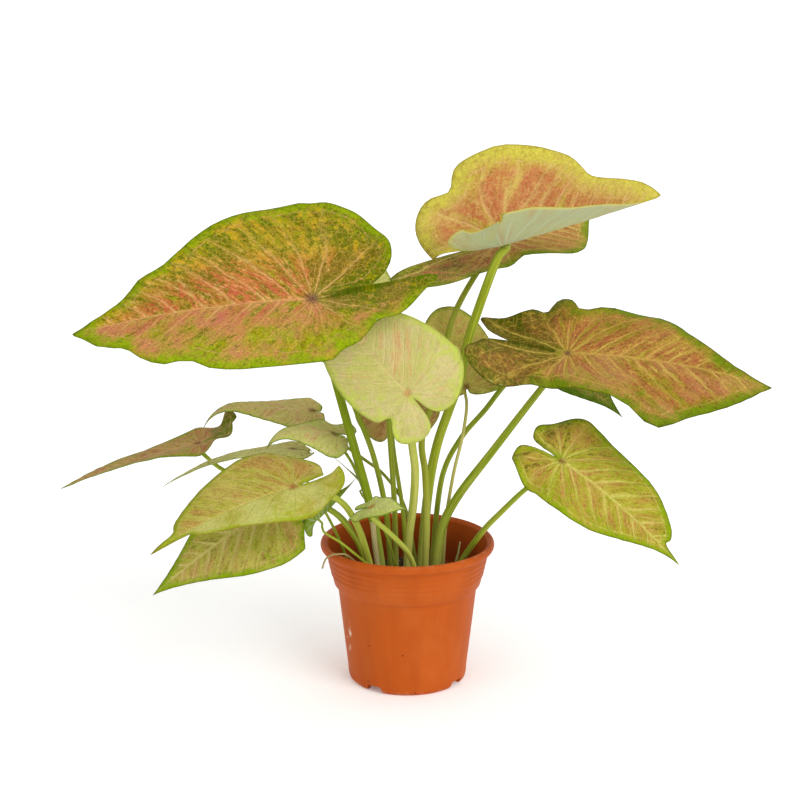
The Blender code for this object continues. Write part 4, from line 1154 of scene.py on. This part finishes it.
def makeStalks():
    tree, group = stalkTree(), stalkGroup()
    for place, (name, shape) in enumerate(leafShapes.items()):
        leaf = readTable(usualShape, shape)
        up, joint = Vector(leafFrame(leaf)[2]), Vector(leaf["stalkAt"])
        top = [tuple(joint - up * below) for below in stalk.underBlade]
        makeStalk("leafStalk_" + name, "stalk_" + name, name, leaf, top, 5.3 * place, tree,
                  group, stalk.sheath, stalk.flare)
    for place, (name, stem) in enumerate(bareStems.items()):
        makeStalk("bareStem_" + name, name, name, readTable({}, stem), [], 130.0 + 7 * place,
                  tree, group, stalk.bareSheath, 0.0)


# Pot

potSizes = dict(
    height=0.0997, lipRadius=0.0600, lipDepth=0.0062, collarTop=0.0562, collarFoot=0.0508,
    collarFootZ=0.0690, bodyTop=0.0484, bodyFoot=0.0414, bodyFootZ=0.0080, standRadius=0.0392,
    standWidth=0.0030, undersideZ=0.0045, floorZ=0.0065, wall=0.0014, ribs=4, ribDepth=0.0005,
    sides=160, notches=4, notchWidth=0.0118, notchHeight=0.0048, notchStart=-34,
    drainRadius=0.0032, drainRing=0.0240, cornerZ=0.0100, cornerIn=0.0022,
)
pot = SimpleNamespace(**potSizes)
# the last tone is a painted shade for the inside of the wall
potLook = dict(
    orange=(184, 85, 25), deep=(154, 64, 17), pale=(197, 107, 51), scuff=(232, 206, 182),
    speck=(80, 32, 12), insideShade=(116, 42, 6),
)


def bodyRadius(z):
    share = (z - pot.bodyFootZ) / (pot.collarFootZ - pot.bodyFootZ)
    return pot.bodyFoot + (pot.bodyTop - pot.bodyFoot) * share


def collarRadius(z):
    share = (z - pot.collarFootZ) / (pot.height - pot.lipDepth - pot.collarFootZ)
    return pot.collarFoot + (pot.collarTop - pot.collarFoot) * share


def potSection():
    # radius and height round the wall, from the underside's centre
    lipFoot = pot.height - pot.lipDepth
    inner = pot.standRadius - pot.standWidth
    section = [(0.0, pot.undersideZ), (inner - 0.0006, pot.undersideZ),
               (inner, pot.undersideZ - 0.0006), (inner, 0.0004), (inner + 0.0004, 0.0),
               (pot.standRadius - 0.0003, 0.0), (pot.standRadius, 0.0003)]
    foot = curveThrough([(pot.standRadius + 0.0014, 0.0016), (pot.standRadius + 0.0020, 0.0042),
                         (pot.bodyFoot, pot.bodyFootZ)], 6)
    section += [tuple(p) for p in foot]
    section += [(bodyRadius(z), z) for z in (0.020, 0.035, 0.050, 0.064)]
    section += [(pot.bodyTop, pot.collarFootZ - 0.0012),
                (pot.bodyTop + 0.0006, pot.collarFootZ - 0.0003),
                (pot.collarFoot - 0.0006, pot.collarFootZ - 0.0002),
                (pot.collarFoot, pot.collarFootZ + 0.0006)]
    start, end = pot.collarFootZ + 0.006, lipFoot - 0.003
    for z in np.linspace(start, end, 8 * pot.ribs + 1):
        swell = abs(sin(pi * pot.ribs * (z - start) / (end - start))) ** 1.6
        section.append((collarRadius(z) + pot.ribDepth * swell, z))
    section.append((pot.collarTop, lipFoot - 0.0005))
    middle = pot.height - pot.lipDepth / 2
    for k in range(13):
        angle = radians(-72 + 13.5 * k)
        section.append((pot.lipRadius - 0.0024 + 0.0024 * cos(angle),
                        middle + 0.5 * pot.lipDepth * sin(angle)))
    section += [(collarRadius(lipFoot) - 0.0010, middle + 0.0008),
                (collarRadius(lipFoot) - 0.0014, middle - 0.0012),
                (pot.collarFoot - pot.wall, pot.collarFootZ + 0.0014),
                (pot.collarFoot - pot.wall - 0.0006, pot.collarFootZ + 0.0004),
                (pot.bodyTop - pot.wall, pot.collarFootZ - 0.0004),
                (bodyRadius(pot.cornerZ + 0.0010) - pot.wall, pot.cornerZ + 0.0010),
                (bodyRadius(pot.cornerZ) - pot.wall - pot.cornerIn, pot.floorZ),
                (0.0, pot.floorZ)]
    return section


def turned(name, section, sides):
    # turns a section round Z; its ends lie on the axis
    points = [(0.0, 0.0, section[0][1])]
    for radius, z in section[1:-1]:
        points += [(radius * cos(2 * pi * k / sides), radius * sin(2 * pi * k / sides), z)
                   for k in range(sides)]
    points.append((0.0, 0.0, section[-1][1]))
    faces = []
    last = len(points) - 1
    rings = len(section) - 2
    for k in range(sides):
        j = (k + 1) % sides
        faces.append((0, 1 + j, 1 + k))
        for ring in range(rings - 1):
            a = 1 + ring * sides
            faces.append((a + k, a + j, a + sides + j, a + sides + k))
        a = 1 + (rings - 1) * sides
        faces.append((last, a + k, a + j))
    return meshFrom(name, points, faces)


def cutterFrom(work, name):
    mesh = bpy.data.meshes.new(name)
    work.to_mesh(mesh)
    work.free()
    return newObject(name, mesh)


def notchCutter():
    # prisms that widen towards the ground
    top, halfWidth = pot.notchHeight, pot.notchWidth / 2
    profile = ((-1.25, -0.002), (1.25, -0.002), (0.92, top - 0.0006), (0.82, top),
               (-0.82, top), (-0.92, top - 0.0006))
    work = bmesh.new()
    for k in range(pot.notches):
        angle = radians(pot.notchStart) + 2 * pi * k / pot.notches
        outward = Vector((sin(angle), -cos(angle), 0.0))
        sideways = Vector((cos(angle), sin(angle), 0.0))
        inner, outer = [[work.verts.new(outward * reach + sideways * half * halfWidth
                                        + Vector((0.0, 0.0, z))) for half, z in profile]
                        for reach in (pot.standRadius - 2 * pot.standWidth,
                                      pot.standRadius + pot.standWidth)]
        for a in range(-len(profile), 0):
            work.faces.new((inner[a], inner[a + 1], outer[a + 1], outer[a]))
        work.faces.new(inner[::-1])
        work.faces.new(outer)
    bmesh.ops.recalc_face_normals(work, faces=work.faces)
    return cutterFrom(work, "notchCutter")


def drainCutter():
    places = [(0.0, 0.0)]
    for k in range(pot.notches):
        angle = radians(pot.notchStart) + 2 * pi * (k + 0.5) / pot.notches
        places.append((pot.drainRing * sin(angle), -pot.drainRing * cos(angle)))
    work = bmesh.new()
    for x, y in places:
        made = bmesh.ops.create_cone(work, cap_ends=True, segments=32, radius1=pot.drainRadius,
                                     radius2=pot.drainRadius, depth=0.008)
        bmesh.ops.translate(work, verts=made["verts"],
                            vec=(x, y, 0.5 * (pot.undersideZ + pot.floorZ)))
    return cutterFrom(work, "drainCutter")


def plasticGroup():
    # moulded plastic: flow bands, fine grain, specks, and scuffs that an input places
    tree, given, leave = newGroup("Moulded plastic", "orange deep pale speck scuff", "scuffed")
    spot = objectSpot(tree)
    x, y, z = split(spot)
    flow = noiseAt(joined(x * 90.0, y * 90.0, z * 9.0), 1.0, 3.0, 0.5)
    cloud = noiseAt(spot, 26.0, 4.0, 0.6)
    grain = noiseAt(spot, 1400.0, 2.0, 0.6)
    cells = addValue("ShaderNodeTexVoronoi", {"Vector": spot, "Scale": 75.0})
    scratch = noiseAt(joined(x * 260.0, y * 260.0, z * 110.0), 1.0, 5.0, 0.7)
    worn = rise(scratch, 0.5, 0.62) * given.scuffed
    colour = blend(rise(flow, 0.35, 0.75) * 0.30, given.orange, given.deep)
    colour = blend(rise(cloud, 0.45, 0.75) * 0.30, colour, given.pale)
    colour = blend(fall(cells, 0.035, 0.075) * 0.65, colour, given.speck)
    setSockets(leave, {"colour": blend(worn, colour, given.scuff),
                       "roughness": cloud * 0.16 + 0.40 + worn * 0.25,
                       "height": grain * 0.35 + flow * 0.4})
    return tree


def potMaterial():
    material, tree, shader = newMaterial("potPlastic")
    spot, tones = objectSpot(tree), painted(potLook)
    x, y, z = split(spot)
    # scuffs on the left of the front, along the lip and round the foot
    off = ((x + 0.0400) / 0.0022) ** 2.0 + ((z - 0.036) / 0.014) ** 2.0
    patch = fall(off, 0.2, 1.0) * calc("LESS_THAN", y, 0.0)
    lip = rise(z, 0.0978, 0.0996) * 0.10
    foot = fall(z, 0.0005, 0.004) * 0.15
    skin = addGroup(tree, plasticGroup(), {**tones, "scuffed": larger(patch, larger(lip, foot))})
    # painted shade: the inside of the wall is darker from under the lip down towards the soil, with a ragged upper
    # edge
    middle = (z - pot.collarFootZ) * 0.22 + (pot.collarFoot - pot.wall / 2)
    inside = calc("LESS_THAN", calc("SQRT", x * x + y * y), middle)
    inside = inside * calc("GREATER_THAN", z, pot.collarFootZ)
    ragged = z + noiseAt(spot, 120.0, 4.0) * 0.014
    skin.colour = blend(fall(ragged, 0.080, 0.106) * (inside * 0.80), skin.colour,
                        tones["insideShade"])
    dress(shader, skin, 0.18, 0.0004, 0.07)
    return material


def makePot():
    body = newObject("potTurned", turned("nurseryPot", potSection(), pot.sides))
    cutters = [notchCutter(), drainCutter()]
    for cutter in cutters:
        cut = body.modifiers.new(cutter.name, "BOOLEAN")
        cut.operation = "DIFFERENCE"
        cut.solver = "EXACT"
        cut.object = cutter
    mesh = evaluated(body)
    for cutter in cutters:
        bpy.data.objects.remove(cutter, do_unlink=True)
    mesh.name = "nurseryPot"
    mesh.shade_smooth()
    mesh.set_sharp_from_angle(angle=radians(32))
    addPiece("nurseryPot", mesh, "pot", "pot_plastic", [potMaterial()])


# Soil

soilSizes = dict(
    topZ=0.0695, gap=0.0003, sides=128, rings=48, heave=0.0014, lumps=0.0009,
    crumbs=420000.0, crumbSize=0.0011, grits=22000.0, gritSize=0.0010, seed=4,
)
soil = SimpleNamespace(**soilSizes)
soilLook = dict(
    peat=(46, 33, 24), dry=(86, 64, 46), fibre=(112, 84, 54), grit=(206, 200, 186),
)


def soilHeight(x, y):
    heave = noise.noise(Vector((x * 90, y * 90, soil.topZ * 90)))
    lump = noise.fractal(Vector((x * 420, y * 420, 2.0)), 0.8, 2.0, 4)
    return soil.topZ + soil.heave * heave + soil.lumps * lump


def soilMesh():
    edge = pot.bodyTop - pot.wall - 2 * soil.gap
    low = bodyRadius(pot.cornerZ) - pot.wall - 2 * soil.gap
    section = [(0.0, pot.floorZ + soil.gap), (low - pot.cornerIn, pot.floorZ + soil.gap),
               (low, pot.cornerZ + 0.0002 + soil.gap), (edge, pot.collarFootZ - 0.0008)]
    section += [(edge * (1 - ring / soil.rings) - 0.0004, soil.topZ)
                for ring in range(soil.rings)]
    section.append((0.0, soil.topZ))
    mesh = turned("soilBed", section, soil.sides)
    for vertex in mesh.vertices:
        if vertex.co.z > soil.topZ - 1e-6:
            vertex.co.z = soilHeight(vertex.co.x, vertex.co.y)
    return mesh


def soilGroup():
    tree, given, leave = newGroup("Potting mix", "peat dry fibre", "")
    spot = objectSpot(tree)
    x, y, z = split(spot)
    rough = noiseAt(spot, 260.0, 6.0, 0.7)
    fine = noiseAt(spot, 900.0, 4.0, 0.7)
    threads = noiseAt(joined(x * 240.0, y * 1500.0, z * 900.0), 1.0, 3.0, 0.6, 1.5)
    colour = blend(rise(rough, 0.42, 0.68), given.peat, given.dry)
    setSockets(leave, {"colour": blend(rise(threads, 0.66, 0.74), colour, given.fibre),
                       "roughness": fine * 0.2 + 0.78, "height": rough + fine * 0.5})
    return tree


def gritMaterial():
    material, tree, shader = newMaterial("perliteGrit")
    pores, tones = noiseAt(objectSpot(tree), 1600.0, 4.0, 0.7), painted(soilLook)
    colour = blend(rise(pores, 0.35, 0.6), tones["dry"], tones["grit"])
    dress(shader, SimpleNamespace(colour=colour, roughness=0.9, height=pores), 0.6, 0.0003)
    return material


def scatterTree():
    # rough lumps, turned and sized at random, over the faces
    tree, given, leave = newTree("Soil crumbs", "density size", "seed")
    spread = addValue("GeometryNodeDistributePointsOnFaces", {
        "Mesh": given.geometry, "Density": given.density, "Seed": given.seed},
        distribute_method="RANDOM")
    lump = addValue("GeometryNodeMeshIcoSphere", {"Radius": given.size, "Subdivisions": 1})

    def randomVector(low, high):
        return addValue("FunctionNodeRandomValue", {0: low, 1: high, "Seed": given.seed},
                        data_type="FLOAT_VECTOR")

    turn = addValue("FunctionNodeEulerToRotation", {
        0: randomVector((0.0, 0.0, 0.0), (2 * pi, 2 * pi, 2 * pi))})
    closeTree(addValue("GeometryNodeInstanceOnPoints", {
        "Points": spread, "Instance": lump, "Rotation": turn,
        "Scale": randomVector((0.35, 0.35, 0.25), (1.5, 1.1, 0.8))}), given, leave)
    return tree


def soilTop():
    # a disc that follows the soil's surface, for the crumbs to lie on
    rings, sides = 12, 40
    reach = pot.bodyTop - pot.wall - 0.0022
    points = [(0.0, 0.0, soilHeight(0.0, 0.0))]
    for ring in range(1, rings + 1):
        for k in range(sides):
            x = reach * ring / rings * cos(2 * pi * k / sides)
            y = reach * ring / rings * sin(2 * pi * k / sides)
            points.append((x, y, soilHeight(x, y)))
    faces = [(0, 1 + k, 1 + (k + 1) % sides) for k in range(sides)]
    for ring in range(rings - 1):
        a = 1 + ring * sides
        faces += [(a + k, a + sides + k, a + sides + (k + 1) % sides, a + (k + 1) % sides)
                  for k in range(sides)]
    return meshFrom("soilTop", points, faces)


def makeSoil():
    group, tones, tree = soilGroup(), painted(soilLook), scatterTree()
    addPiece("soilBed", soilMesh(), "soil", "potting_soil",
             [groupMaterial("pottingMix", group, tones, 0.7, 0.0012)])
    # the crumbs are more fibrous
    crumb = groupMaterial("soilCrumb", group, {**tones, "dry": tones["fibre"]}, 0.7, 0.0012)
    for piece, density, size, seed, material in (
            ("soilCrumbs", soil.crumbs, soil.crumbSize, soil.seed, crumb),
            ("soilGrit", soil.grits, soil.gritSize, soil.seed + 9, gritMaterial())):
        mesh = grown(piece, soilTop(), tree, {"density": density, "size": size, "seed": seed,
                                              "material": material})
        addPiece(piece, mesh, None, "potting_soil")


# Floor, lights and camera

stageLook = dict(
    floor=(252, 252, 252), floorSize=30, world=0.88, sun=1.30, sunSpread=40,
    sunFrom=(0.80, -0.90, 0.9), glow=0.14, backdrop=1.1,
)
viewpoint = dict(eye=(-0.0051, -1.200, 0.506), pitch=0.2509, lens=82.35)
stage, view = SimpleNamespace(**stageLook), SimpleNamespace(**viewpoint)


def makeStage():
    white, reach = (1.0, 1.0, 1.0, 1.0), stage.floorSize
    corners = [(-reach, -reach, 0), (reach, -reach, 0), (reach, reach, 0), (-reach, reach, 0)]
    floor = newObject("floor", meshFrom("floor", corners, [(0, 1, 2, 3)]))
    material, tree, shader = newMaterial("paleFloor")
    tint = noiseAt(objectSpot(tree), 2.0) * 0.03
    setSockets(shader, {
        "Base Color": blend(tint, paint(*stage.floor), (0.8, 0.8, 0.8, 1.0)),
        "Roughness": 0.9, "Specular IOR Level": 0.1, "Emission Color": white,
        "Emission Strength": stage.glow})
    floor.data.materials.append(material)
    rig.stage(floor)
    world = bpy.data.worlds.new("softStudio")
    world.use_nodes = True
    # seen straight on it is as white as the floor, so no horizon shows
    seen = addValue("ShaderNodeLightPath", None, "Is Camera Ray", tree=world.node_tree)
    setSockets(world.node_tree.nodes["Background"], {
        "Color": white,
        "Strength": larger(stage.world, seen * stage.backdrop)})
    bpy.context.scene.world = world
    light = bpy.data.lights.new("softKey", "SUN")
    light.energy = stage.sun
    light.angle = radians(stage.sunSpread)
    lamp = newObject("softKey", light)
    lamp.rotation_euler = Vector(stage.sunFrom).to_track_quat("Z", "Y").to_euler()
    camera = bpy.data.cameras.new("camera")
    camera.lens = view.lens
    camera.sensor_width = 36.0
    holder = newObject("camera", camera)
    holder.location = view.eye
    holder.rotation_euler = (pi / 2 - view.pitch, 0.0, 0.0)
    bpy.context.scene.camera = holder
    bpy.context.scene.view_settings.view_transform = "Standard"


makeBlades()
print("blades done")
makeStalks()
print("stalks done")
makePot()
print("pot done")
makeSoil()
print("soil done")
makeStage()
print("stage done")
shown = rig.bounds()
with open("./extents.json", "w") as out:
    json.dump({"cad": [list(corner) for corner in cadBox],
               "visual": [list(corner) for corner in shown]}, out)
